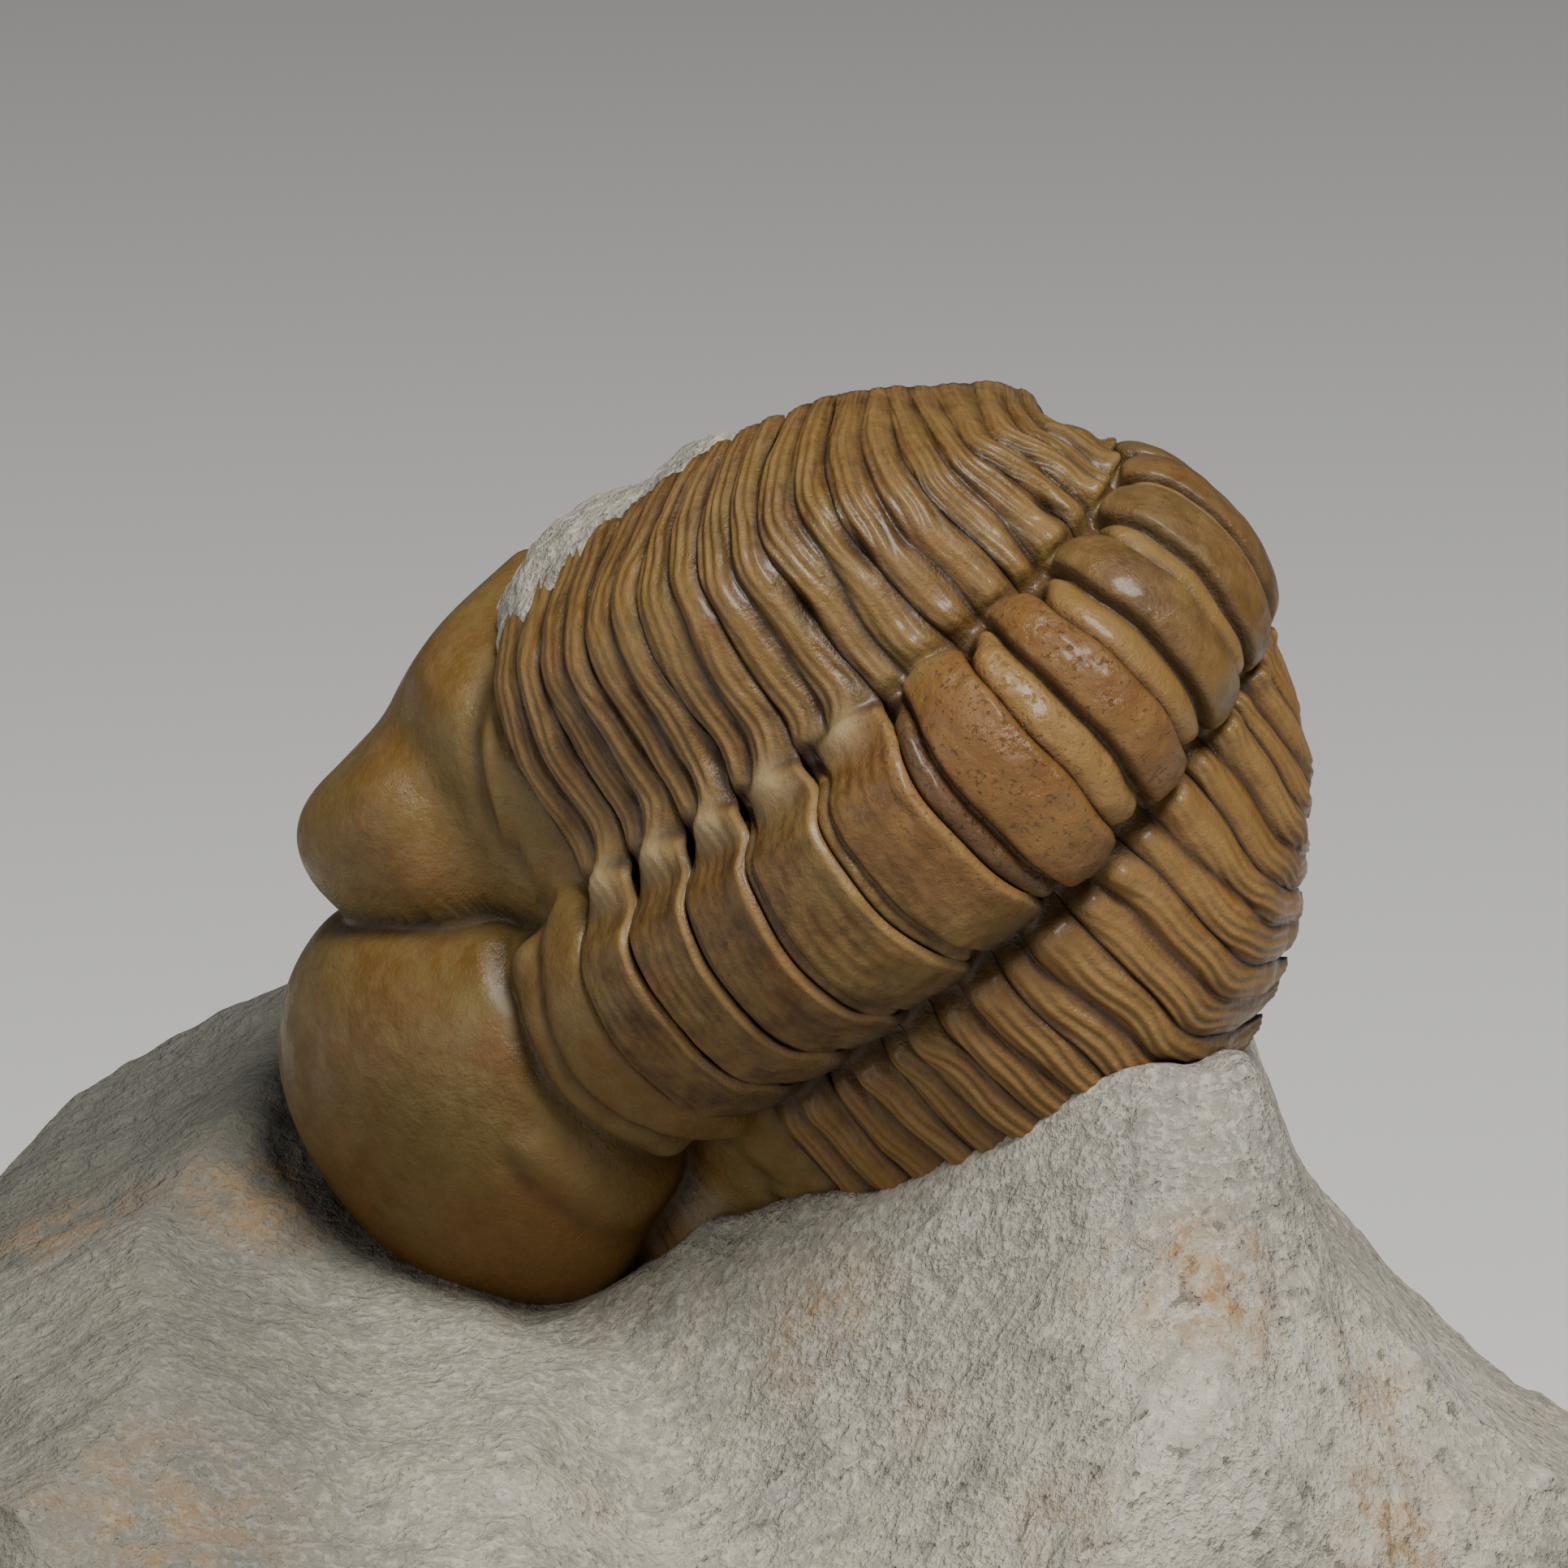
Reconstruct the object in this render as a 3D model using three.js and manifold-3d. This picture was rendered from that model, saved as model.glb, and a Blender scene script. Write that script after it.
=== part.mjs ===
// A partly rolled-up phacopid trilobite on a loose piece of limestone.
// Millimetres, +Z up. The flat underside of the stone lies on Z = 0, under the middle of the piece.
// The animal has a frame of its own, which starts at the hinge between head and thorax: x runs back
// to the tail, y to the animal's right and z up out of its back. A group turns it into its place.

import * as THREE from 'three';
import Module from 'manifold-3d';

const wasm = await Module();
wasm.setup();
const { Manifold, Mesh: SolidMesh } = wasm;

const DEG = Math.PI / 180;

// How the animal lies on the stone: leant over on its left side, pitched up and turned.
const LEAN = 115.5 * DEG;
const PITCH = -28 * DEG;
const HEADING = -50 * DEG;

// The thorax: eleven segments, each flexed against the one before it.
const SEGMENTS = 11;
const SEGMENT_LENGTH = 1.97;
const FLEX = [0, 1.3, 3.5, 12.9, 14.3, 15, 16.9, 18.6, 20, 20, 20].map((angle) => angle * DEG);
const YAW_STEP = 0.54 * DEG;
const ROLL_STEP = 0.69 * DEG;
const GAP = 0.3;
const SHELL = 0.75;

// The cross-section at the first joint: axial arch, inner pleura to the fulcrum, bent-down outer pleura.
const AXIS_HALF = 3.0;
const AXIS_HEIGHT = 2.38;
const ARCH_POWER = 0.8;
const INNER_PLEURA = 4.12;
const FULCRUM_DROP = 0.5;
const OUTER_PLEURA = 2.03;
const TIP_DROP = 4.16;
const OUTER_BULGE = 0.8;
const SHOULDER_DROP = 0.14;

// How those sizes change from joint to joint, and how far the tips sweep back.
const AXIS_TAPER = 0.014;
const HEIGHT_TAPER = 0.0186;
const REAR_NARROWING = 0.12;
const REAR_LOWERING = 0.42;
const PLEURA_SWELL = 0.0188;
const PLEURA_TAPER = 0.0081;
const SWEEP = [0.35, 0.23, 0.014];
const SWEEP_CENTRE = 4;
const RIGHT_SWEEP = 0.75;
const RIGHT_REACH = 0.08;

// Relief of one segment, as shares of its length: half ring in front, ring behind, two pleural bands.
const HALF_RING_SHARE = 0.28;
const HALF_RING_DROP = 0.42;
const RING_RISE = 0.12;
const BAND_RISE = 0.13;
const BAND_FURROW = -0.14;
const FURROW_PLACE = 0.45;
const FURROW_HALF = 0.12;
const AXIAL_FURROW = 0.35;
const AXIAL_FURROW_WIDTH = 0.03;
const TIP_PINCH = 0.35;

// The tail shield.
const PYGIDIUM_LENGTH = 5.6;
const PYGIDIUM_CURL = 42 * DEG;
const PYGIDIUM_RINGS = 7;
const PYGIDIUM_ROWS = 8;
const PYGIDIUM_RELIEF = 0.1;

// The head shield, as centre and half sizes of its swellings.
const HEAD_CENTRE = new THREE.Vector3(-4.9, 0, -1.8);
const HEAD_DETAIL = 9;
const HEAD_FLOOR = -6.1;
const GLABELLA = { at: [-7.1, 0, -0.8], size: [5.7, 5.3, 3.9], power: 2.1 };
const GLABELLA_WAIST = 0.22;
const CHEEKS = { at: [0, 0, -5.4], size: [11.2, 9.6, 5.3] };
const RIGHT_EYE = { at: [-4.9, 6.4, -2.0], size: [2.3, 2.2, 2.3], power: 2.4 };
const LEFT_EYE = { ...RIGHT_EYE, at: [-4.9, -6.4, -2.0] };
const NECK_RING = { middle: -0.95, half: 0.95, rise: 0.14 };
const SMALL_RING = { middle: -2.4, half: 0.5, rise: 0.05 };
const NECK_FRONT = -2.9;

// The piece of limestone, measured from the head's hinge.
const BASE_LEVEL = -12.6;
const STONE_CENTRE = [1.0, 1.0];
const STONE_HALF_LENGTH = 20.0;
const STONE_HALF_WIDTH = 15.5;
const STONE_GRID = [24, 18];
const STONE_TOP_SHARE = 0.95;
const STONE_SIDES = [[1, 0.5], [0.985, 0]];
const LEAST_STONE = 1.2;

// Heights of the stone along its crest, the crest's line in plan, and the rise behind the head.
const CREST = [[-3, -6.6], [0, -5.7], [4.3, -4], [7.2, -2.3], [9.5, -0.5], [12.3, -0.4], [14, -4.8],
  [17, -8.1], [20, -11]];
const CREST_LINE = [[0, 2.5], [9.5, -5], [14, -4.5]];
const BACK_RISE = [[-16, -6.9], [-9, -3.9], [-4, -3.2]];
const FRONT_SLOPE = 1.0;
const BACK_SLOPE = 0.12;
const TROUGH = -8.0;

// Stone left inside the rolled animal.
const FILLING_DEPTH = [6.6, 4.6];
const FILLING_TURN = 4;
const MIDDLE_FILLING = { at: [2.0, 0, -8.4], size: [5.6, 8.0, 4.2], power: 2.8, detail: 4 };
const HEAD_FILLING = { at: [-4.6, 0, -6.4], size: [5.0, 7.2, 2.2], power: 2.4, detail: 3 };
const SIDE_FILLING = { at: [1.8, 6.8, -7.0], size: [3.0, 1.9, 1.9], power: 2, detail: 3 };
const LUMPS = [MIDDLE_FILLING, HEAD_FILLING, SIDE_FILLING];
const SHEET_CLEARANCE = 0.35;
const EDGE_CLEARANCE = 0.25;
const HEAD_CLEARANCE = { grow: 0.4, detail: 7 };

const FOSSIL = { color: 0x96744a, roughness: 0.42, metalness: 0 };
const HEAD = { color: 0x8d7448, roughness: 0.38, metalness: 0 };
const STONE = { color: 0xb9b3a4, roughness: 0.9, metalness: 0 };

function smooth(from, to, x) {
  const t = Math.min(Math.max((x - from) / (to - from), 0), 1);
  return t * t * (3 - 2 * t);
}

// Joint frames, from the head's hinge (0) to the tail shield's (11).
function jointFrames() {
  const joints = [{ spot: new THREE.Vector3(), turn: new THREE.Quaternion() }];
  for (let k = 0; k < SEGMENTS; k += 1) {
    const bend = new THREE.Quaternion().setFromEuler(new THREE.Euler(ROLL_STEP, FLEX[k], YAW_STEP, 'YZX'));
    const turn = joints[k].turn.clone().multiply(bend);
    const back = new THREE.Vector3(SEGMENT_LENGTH, 0, 0).applyQuaternion(turn);
    joints.push({ spot: joints[k].spot.clone().add(back), turn });
  }
  return joints;
}

const JOINTS = jointFrames();

// Sizes of the cross-section at joint k.
function sectionSizes(k) {
  const width = 1 + PLEURA_SWELL * k - PLEURA_TAPER * k * k;
  const past = k - SWEEP_CENTRE;
  return {
    axis: AXIS_HALF * (1 - AXIS_TAPER * k) * (1 - REAR_NARROWING * smooth(5.5, 8, k)),
    height: AXIS_HEIGHT * (1 - HEIGHT_TAPER * k) * (1 - REAR_LOWERING * smooth(6.5, 11, k)),
    inner: INNER_PLEURA * width,
    outer: OUTER_PLEURA * width,
    tip: TIP_DROP * width,
    sweep: SWEEP[0] + SWEEP[1] * past + SWEEP[2] * past * past,
    rightSweep: RIGHT_SWEEP * smooth(2.5, 5.5, k),
    rightReach: RIGHT_REACH * smooth(2.5, 4.5, k) * (1 - smooth(7, 10, k)),
  };
}

// The cross-section runs from q = -1, the left tip, over the crest at 0 to q = 1, the right tip.
const ARCH_END = 0.36;
const FULCRUM_AT = 0.66;

function sectionPoint(sizes, q) {
  const side = Math.sign(q) || 1;
  const s = Math.abs(q);
  if (s <= ARCH_END) {
    const a = (s / ARCH_END) * (Math.PI / 2);
    return new THREE.Vector2(side * sizes.axis * Math.sin(a), sizes.height * Math.cos(a) ** ARCH_POWER);
  }
  if (s <= FULCRUM_AT) {
    const t = (s - ARCH_END) / (FULCRUM_AT - ARCH_END);
    return new THREE.Vector2(side * (sizes.axis + sizes.inner * t), -FULCRUM_DROP * t * t);
  }
  const t = (s - FULCRUM_AT) / (1 - FULCRUM_AT);
  const reach = q > 0 ? 1 + sizes.rightReach : 1;
  const bulge = (2 * t * (1 - t) * OUTER_BULGE + t * t * reach) * sizes.outer;
  const drop = (2 * t * (1 - t) * SHOULDER_DROP + t * t * reach) * sizes.tip;
  return new THREE.Vector2(side * (sizes.axis + sizes.inner + bulge), -FULCRUM_DROP - drop);
}

// The same point lifted off the section by a height, square to the section's line.
function liftedPoint(sizes, q, lift) {
  const step = 0.004;
  const here = sectionPoint(sizes, q);
  const before = sectionPoint(sizes, Math.max(q - step, -1));
  const along = sectionPoint(sizes, Math.min(q + step, 1)).sub(before).normalize();
  return new THREE.Vector2(here.x - along.y * lift, here.y + along.x * lift);
}

// How far a point of the section lies swept back with the tips.
function sweepAt(sizes, q) {
  const t = Math.max(0, (Math.abs(q) - FULCRUM_AT) / (1 - FULCRUM_AT));
  return (sizes.sweep + (q > 0 ? sizes.rightSweep : 0)) * t * t;
}

function pointOnJoint(k, q, lift) {
  const sizes = sectionSizes(k);
  const flat = liftedPoint(sizes, q, lift);
  const joint = JOINTS[k];
  return new THREE.Vector3(sweepAt(sizes, q), flat.x, flat.y).applyQuaternion(joint.turn).add(joint.spot);
}

// A point of segment k, v of the way back between its joints, half a gap clear of both.
function pointOnSegment(k, q, v, lift) {
  const front = pointOnJoint(k, q, lift);
  const back = pointOnJoint(k + 1, q, lift);
  const margin = Math.min(GAP / 2 / front.distanceTo(back), 0.4);
  return front.lerp(back, margin + v * (1 - 2 * margin));
}

// Height of the relief on a segment: q across, v from its front edge to its back edge.
function relief(q, v) {
  const s = Math.abs(q);
  const pleural = smooth(ARCH_END - 0.05, ARCH_END + 0.03, s);
  const ring = v < HALF_RING_SHARE ? -HALF_RING_DROP : RING_RISE * Math.sin(Math.PI * (v - 0.1));
  const band = Math.abs(v - FURROW_PLACE) < FURROW_HALF ? BAND_FURROW : BAND_RISE;
  const edge = v === 0 || v === 1 ? -BAND_RISE : 0;
  const fade = 1 - smooth(0.85, 1, s);
  const furrow = AXIAL_FURROW * Math.exp(-(((s - ARCH_END - 0.015) / AXIAL_FURROW_WIDTH) ** 2));
  return (1 - pleural) * ring + pleural * (band * fade + edge) - furrow;
}

// Geometry from points and triangles, turned so that its faces point out.
function bodyGeometry(points, faces) {
  let volume = 0;
  for (let f = 0; f < faces.length; f += 3) {
    const [a, b, c] = [points[faces[f]], points[faces[f + 1]], points[faces[f + 2]]];
    volume += a.dot(b.clone().cross(c));
  }
  if (volume < 0) {
    faces.reverse();
  }
  const geometry = new THREE.BufferGeometry().setFromPoints(points);
  geometry.setIndex(faces);
  return geometry;
}

// A closed body from an outer and an inner grid of points, both [row][column].
// The inner grid has as many columns as the outer one, but may have fewer rows.
function closedBody(outer, inner) {
  const columns = outer[0].length;
  const points = [...outer.flat(), ...inner.flat()];
  const top = (i, j) => i * columns + j;
  const under = (i, j) => (outer.length + i) * columns + j;
  const lastTop = outer.length - 1;
  const lastUnder = inner.length - 1;
  const faces = [];
  const quad = (a, b, c, d) => faces.push(a, b, c, a, c, d);
  for (let j = 0; j < columns - 1; j += 1) {
    for (let i = 0; i < lastTop; i += 1) {
      quad(top(i, j), top(i, j + 1), top(i + 1, j + 1), top(i + 1, j));
    }
    for (let i = 0; i < lastUnder; i += 1) {
      quad(under(i, j), under(i + 1, j), under(i + 1, j + 1), under(i, j + 1));
    }
    quad(top(0, j + 1), top(0, j), under(0, j), under(0, j + 1));
    quad(top(lastTop, j), top(lastTop, j + 1), under(lastUnder, j + 1), under(lastUnder, j));
  }
  for (let i = 0; i < lastTop; i += 1) {
    const from = Math.round((i * lastUnder) / lastTop);
    const to = Math.round(((i + 1) * lastUnder) / lastTop);
    faces.push(top(i, 0), top(i + 1, 0), under(to, 0));
    faces.push(top(i + 1, columns - 1), top(i, columns - 1), under(to, columns - 1));
    if (to !== from) {
      faces.push(top(i, 0), under(to, 0), under(from, 0));
      faces.push(top(i, columns - 1), under(from, columns - 1), under(to, columns - 1));
    }
  }
  return bodyGeometry(points, faces);
}

// Stations across the section, closer together at the axial furrow and the fulcrum.
const HALF_STATIONS = [0.09, 0.18, 0.27, 0.335, 0.375, 0.42, 0.52, 0.62, 0.7, 0.79, 0.89, 1];
const STATIONS = [...HALF_STATIONS.map((q) => -q).reverse(), 0, ...HALF_STATIONS];
const SEGMENT_ROWS = [0, 0.24, 0.3, 0.45, 0.7, 1];

// The tips are rounded: the rows draw together towards the end of the pleura.
function tipRow(q, v) {
  return v + (0.5 - v) * TIP_PINCH * smooth(0.88, 1, Math.abs(q));
}

function segmentGeometry(k) {
  const rowOf = (v, lift) => STATIONS.map((q) => pointOnSegment(k, q, tipRow(q, v), lift(q, v)));
  const outer = SEGMENT_ROWS.map((v) => rowOf(v, relief));
  const inner = [0, 1].map((v) => rowOf(v, () => -SHELL));
  return closedBody(outer, inner);
}

// The tail shield follows the last joint and curls on, narrowing to a round end.
function pygidiumFrame(t) {
  const joint = JOINTS[SEGMENTS];
  const steps = 12;
  const bend = new THREE.Quaternion().setFromEuler(new THREE.Euler(0, PYGIDIUM_CURL / steps, 0));
  const turn = joint.turn.clone();
  const spot = joint.spot.clone();
  for (let i = 0; i < Math.round(t * steps); i += 1) {
    spot.add(new THREE.Vector3(PYGIDIUM_LENGTH / steps, 0, 0).applyQuaternion(turn));
    turn.multiply(bend);
  }
  return { spot, turn };
}

function pygidiumPoint(t, q, lift) {
  const sizes = sectionSizes(SEGMENTS);
  const round = Math.sqrt(1 - (0.96 * t) ** 2);
  sizes.axis *= 1 - 0.62 * t;
  sizes.height *= 1 - 0.6 * t;
  sizes.inner *= round;
  sizes.outer *= round;
  sizes.tip *= 0.35 + 0.65 * round;
  const flat = liftedPoint(sizes, q, lift);
  const frame = pygidiumFrame(t);
  const along = GAP / 2 + sweepAt(sizes, q) * (1 - t);
  return new THREE.Vector3(along, flat.x, flat.y).applyQuaternion(frame.turn).add(frame.spot);
}

const TAIL_TIMES = Array.from({ length: PYGIDIUM_ROWS + 1 }, (_, i) => i / PYGIDIUM_ROWS);

function pygidiumGeometry() {
  const ribs = (t, q) => {
    const height = Math.cos(2 * Math.PI * PYGIDIUM_RINGS * t) * PYGIDIUM_RELIEF * (1 - t);
    return Math.abs(q) < FULCRUM_AT + 0.15 ? height : 0;
  };
  const outer = TAIL_TIMES.map((t) => STATIONS.map((q) => pygidiumPoint(t, q, ribs(t, q))));
  const inner = [0, 0.4, 0.75, 1].map((t) => STATIONS.map((q) => pygidiumPoint(t, q, -SHELL)));
  return closedBody(outer, inner);
}

// A ball's triangles with each corner moved to where place() puts its direction.
function ballBody(detail, place) {
  const corners = new THREE.IcosahedronGeometry(1, detail).getAttribute('position');
  const seen = new Map();
  const points = [];
  const faces = [];
  for (let i = 0; i < corners.count; i += 1) {
    const direction = new THREE.Vector3().fromBufferAttribute(corners, i).normalize();
    const key = direction.toArray().map((c) => c.toFixed(5)).join();
    if (!seen.has(key)) {
      seen.set(key, points.length);
      points.push(place(direction));
    }
    faces.push(seen.get(key));
  }
  return bodyGeometry(points, faces);
}

// A lump with rounded corners: the higher the power, the squarer it is.
function lump({ at, size, power, detail }) {
  return ballBody(detail, (d) => {
    const sum = Math.abs(d.x) ** power + Math.abs(d.y) ** power + Math.abs(d.z) ** power;
    const reach = sum ** (-1 / power);
    return d.multiply(new THREE.Vector3(...size)).multiplyScalar(reach).add(new THREE.Vector3(...at));
  });
}

// Height above a rounded swelling, about in millimetres: negative inside it.
function aboveSwelling(p, { at, size, power }, waist = 1) {
  const u = Math.abs((p.x - at[0]) / size[0]) ** power;
  const v = Math.abs((p.y - at[1]) / (size[1] * waist)) ** power;
  const w = Math.abs((p.z - at[2]) / size[2]) ** power;
  return ((u + v + w) ** (1 / power) - 1) * Math.min(...size);
}

// The cheeks: half an oval in plan, with a broad top and a steep rim.
function aboveCheeks(p) {
  const [length, width, height] = CHEEKS.size;
  const plan = ((p.x - CHEEKS.at[0]) / length) ** 2 + (p.y / width) ** 2;
  const tall = (p.z - CHEEKS.at[2]) / height;
  return ((plan ** 2 + tall ** 4) ** 0.25 - 1) * height;
}

// The rings at the back of the head: an arch of the same section as the thorax's axis.
function aboveNeck(p) {
  const arch = Math.hypot(p.y / AXIS_HALF, Math.max(p.z, -0.5) / AXIS_HEIGHT) - 1;
  const swell = ({ middle, half, rise }) => rise * Math.sqrt(Math.max(0, 1 - ((p.x - middle) / half) ** 2));
  const height = arch * AXIS_HEIGHT - swell(NECK_RING) - swell(SMALL_RING) + 0.1;
  return Math.max(height, NECK_FRONT - p.x, p.x - 1);
}

function blend(a, b, reach) {
  const h = Math.max(reach - Math.abs(a - b), 0) / reach;
  return Math.min(a, b) - (h * h * reach) / 4;
}

function aboveHead(p) {
  const waist = 1 - GLABELLA_WAIST * smooth(-7.5, -3, p.x);
  const shield = blend(aboveCheeks(p), aboveSwelling(p, GLABELLA, waist), 0.5);
  const eyes = Math.min(aboveSwelling(p, RIGHT_EYE), aboveSwelling(p, LEFT_EYE));
  return blend(blend(shield, aboveNeck(p), 0.2), eyes, 0.35);
}

// Each direction from the head's centre meets its surface once: the place is found by halving.
function headPoint(direction, grow) {
  let near = 1;
  let far = 16;
  for (let i = 0; i < 26; i += 1) {
    const middle = (near + far) / 2;
    const p = HEAD_CENTRE.clone().addScaledVector(direction, middle);
    if (aboveHead(p) > grow) {
      far = middle;
    } else {
      near = middle;
    }
  }
  return HEAD_CENTRE.clone().addScaledVector(direction, near);
}

function solidFrom(geometry) {
  const mesh = new SolidMesh({
    numProp: 3,
    vertProperties: new Float32Array(geometry.getAttribute('position').array),
    triVerts: new Uint32Array(geometry.getIndex().array),
  });
  mesh.merge();
  return new Manifold(mesh);
}

function geometryFrom(solid) {
  const mesh = solid.getMesh();
  const geometry = new THREE.BufferGeometry();
  geometry.setAttribute('position', new THREE.BufferAttribute(mesh.vertProperties.slice(), 3));
  geometry.setIndex(new THREE.BufferAttribute(mesh.triVerts.slice(), 1));
  return geometry;
}

// The head, cut off square at its hinge and level below, or grown all round by a clearance.
function headGeometry({ grow, detail }) {
  const whole = solidFrom(ballBody(detail, (direction) => headPoint(direction, grow)));
  const cut = whole.trimByPlane([-1, 0, 0], GAP / 2 - grow).trimByPlane([0, 0, 1], HEAD_FLOOR - grow);
  return geometryFrom(cut);
}

// Room for the thorax and the tail in the stone: their sheet, thickened by the clearance all round.
function sheetClearance() {
  const roomRow = (turn, pointAt) => STATIONS.map((q) => {
    const outwards = new THREE.Vector3(0, Math.sign(q), -1).applyQuaternion(turn);
    return Math.abs(q) < 1 ? pointAt(q) : pointAt(q).addScaledVector(outwards, EDGE_CLEARANCE);
  });
  const rows = (lift) => {
    const thorax = JOINTS.map(({ turn }, k) => roomRow(turn, (q) => pointOnJoint(k, q, lift)));
    const tail = TAIL_TIMES.slice(1).map((t) =>
      roomRow(pygidiumFrame(t).turn, (q) => pygidiumPoint(t, q, lift)));
    const back = new THREE.Vector3(SHEET_CLEARANCE, 0, 0).applyQuaternion(pygidiumFrame(1).turn);
    const end = tail[tail.length - 1].map((spot) => spot.clone().add(back));
    return [...thorax, ...tail, end];
  };
  return closedBody(rows(BAND_RISE + SHEET_CLEARANCE), rows(-SHELL - SHEET_CLEARANCE));
}

// The stone inside the rolled body: closed loops at the joints, one behind the other.
function thoraxFilling() {
  const stations = STATIONS.filter((_, i) => i % 2 === 0);
  const loopAt = (joint, k) => {
    const sizes = sectionSizes(k);
    const half = sizes.axis + sizes.inner + sizes.outer;
    const depth = FILLING_DEPTH[k < FILLING_TURN ? 0 : 1];
    const top = stations.map((q) => pointOnJoint(k, q * 0.97, -SHELL * 0.6));
    const foot = [0.88, 0.5, -0.5, -0.88].map((share) =>
      new THREE.Vector3(0, half * share, -depth).applyQuaternion(joint.turn).add(joint.spot));
    return [...top, ...foot];
  };
  const loops = JOINTS.map(loopAt);
  const size = loops[0].length;
  const last = (loops.length - 1) * size;
  const faces = [];
  for (let ring = 0; ring < last; ring += size) {
    for (let j = 0; j < size; j += 1) {
      const next = (j + 1) % size;
      faces.push(ring + j, ring + next, ring + size + next);
      faces.push(ring + j, ring + size + next, ring + size + j);
    }
  }
  for (let j = 1; j < size - 1; j += 1) {
    faces.push(0, j + 1, j);
    faces.push(last, last + j, last + j + 1);
  }
  return bodyGeometry(loops.flat(), faces);
}

// The value at x of a line through [place, value] pairs, level beyond both ends.
function profile(pairs, x) {
  const next = pairs.findIndex(([place]) => place > x);
  if (next === -1) {
    return pairs[pairs.length - 1][1];
  }
  if (next === 0) {
    return pairs[0][1];
  }
  const [[x0, z0], [x1, z1]] = [pairs[next - 1], pairs[next]];
  return z0 + ((z1 - z0) * (x - x0)) / (x1 - x0);
}

// Height of the stone's broken top: a crest on the right, a trough under the head, a rise behind it.
function stoneTop(x, y) {
  const before = profile(CREST_LINE, x) - y;
  const ridge = profile(CREST, x) - (before > 0 ? FRONT_SLOPE : -BACK_SLOPE) * before;
  const trough = TROUGH + 0.55 * Math.max(y - 4, 0) - 0.75 * Math.max(-4 - y, 0);
  const rise = profile(BACK_RISE, x) + 0.16 * (y - 11);
  const left = Math.min(rise, trough + 0.3 * Math.max(-7 - x, 0));
  const share = smooth(-3.5, 1, x);
  return -blend(-left * (1 - share) - ridge * share, -BASE_LEVEL - LEAST_STONE, 3);
}

// How far the stone reaches from its middle, by direction: an uneven oval.
function stoneReach(angle) {
  const uneven = 1 + 0.05 * Math.sin(3 * angle + 0.6) + 0.035 * Math.sin(5 * angle + 2.1);
  return uneven / Math.hypot(Math.cos(angle) / STONE_HALF_LENGTH, Math.sin(angle) / STONE_HALF_WIDTH);
}

// A place on the stone's top, from a square grid's (u, v) between -1 and 1, drawn in to the outline.
function stonePlace(u, v, share) {
  const x = u * Math.sqrt(1 - (v * v) / 2);
  const y = v * Math.sqrt(1 - (u * u) / 2);
  const angle = Math.atan2(y, x);
  const reach = stoneReach(angle) * Math.hypot(x, y) * share;
  return [STONE_CENTRE[0] + Math.cos(angle) * reach, STONE_CENTRE[1] + Math.sin(angle) * reach];
}

function stoneGeometry() {
  const [columns, rows] = STONE_GRID;
  const uOf = (i) => (2 * i) / columns - 1;
  const vOf = (j) => (2 * j) / rows - 1;
  const points = [];
  const faces = [];
  for (let j = 0; j <= rows; j += 1) {
    for (let i = 0; i <= columns; i += 1) {
      const [x, y] = stonePlace(uOf(i), vOf(j), STONE_TOP_SHARE);
      points.push(new THREE.Vector3(x, y, stoneTop(x, y)));
    }
  }
  const top = (i, j) => j * (columns + 1) + i;
  for (let j = 0; j < rows; j += 1) {
    for (let i = 0; i < columns; i += 1) {
      const [a, b, c, d] = [top(i, j), top(i + 1, j), top(i + 1, j + 1), top(i, j + 1)];
      const flatter = Math.abs(points[a].z - points[c].z) < Math.abs(points[b].z - points[d].z);
      faces.push(...(flatter ? [a, b, c, a, c, d] : [a, b, d, b, c, d]));
    }
  }
  const edge = [];
  for (let i = 0; i < columns; i += 1) {
    edge.push([i, 0]);
  }
  for (let j = 0; j < rows; j += 1) {
    edge.push([columns, j]);
  }
  for (let i = columns; i > 0; i -= 1) {
    edge.push([i, rows]);
  }
  for (let j = rows; j > 0; j -= 1) {
    edge.push([0, j]);
  }
  let above = edge.map(([i, j]) => top(i, j));
  for (const [share, level] of STONE_SIDES) {
    const ring = edge.map(([i, j]) => {
      const [x, y] = stonePlace(uOf(i), vOf(j), share);
      const height = points[top(i, j)].z - BASE_LEVEL;
      return points.push(new THREE.Vector3(x, y, BASE_LEVEL + height * level)) - 1;
    });
    ring.forEach((corner, i) => {
      const next = (i + 1) % ring.length;
      faces.push(above[i], corner, ring[next], above[i], ring[next], above[next]);
    });
    above = ring;
  }
  const foot = points.push(new THREE.Vector3(...STONE_CENTRE, BASE_LEVEL)) - 1;
  above.forEach((corner, i) => faces.push(foot, above[(i + 1) % above.length], corner));
  return bodyGeometry(points, faces);
}

const animal = new THREE.Group();
animal.rotation.set(LEAN, PITCH, HEADING, 'ZYX');
animal.updateMatrixWorld();

// The stone with its filling, less room for the animal. Crumbs cut loose are left out.
function matrixGeometry() {
  const inPlace = (geometry) => solidFrom(geometry.clone().applyMatrix4(animal.matrixWorld));
  let stone = solidFrom(stoneGeometry());
  for (const filling of [thoraxFilling(), ...LUMPS.map(lump)]) {
    stone = stone.add(inPlace(filling));
  }
  for (const room of [sheetClearance(), headGeometry(HEAD_CLEARANCE)]) {
    stone = stone.subtract(inPlace(room));
  }
  const bodies = stone.decompose();
  bodies.sort((a, b) => b.volume() - a.volume());
  return geometryFrom(bodies[0]);
}

function piece(name, geometry, finish) {
  const mesh = new THREE.Mesh(geometry, new THREE.MeshStandardMaterial(finish));
  mesh.name = name;
  return mesh;
}

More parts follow.
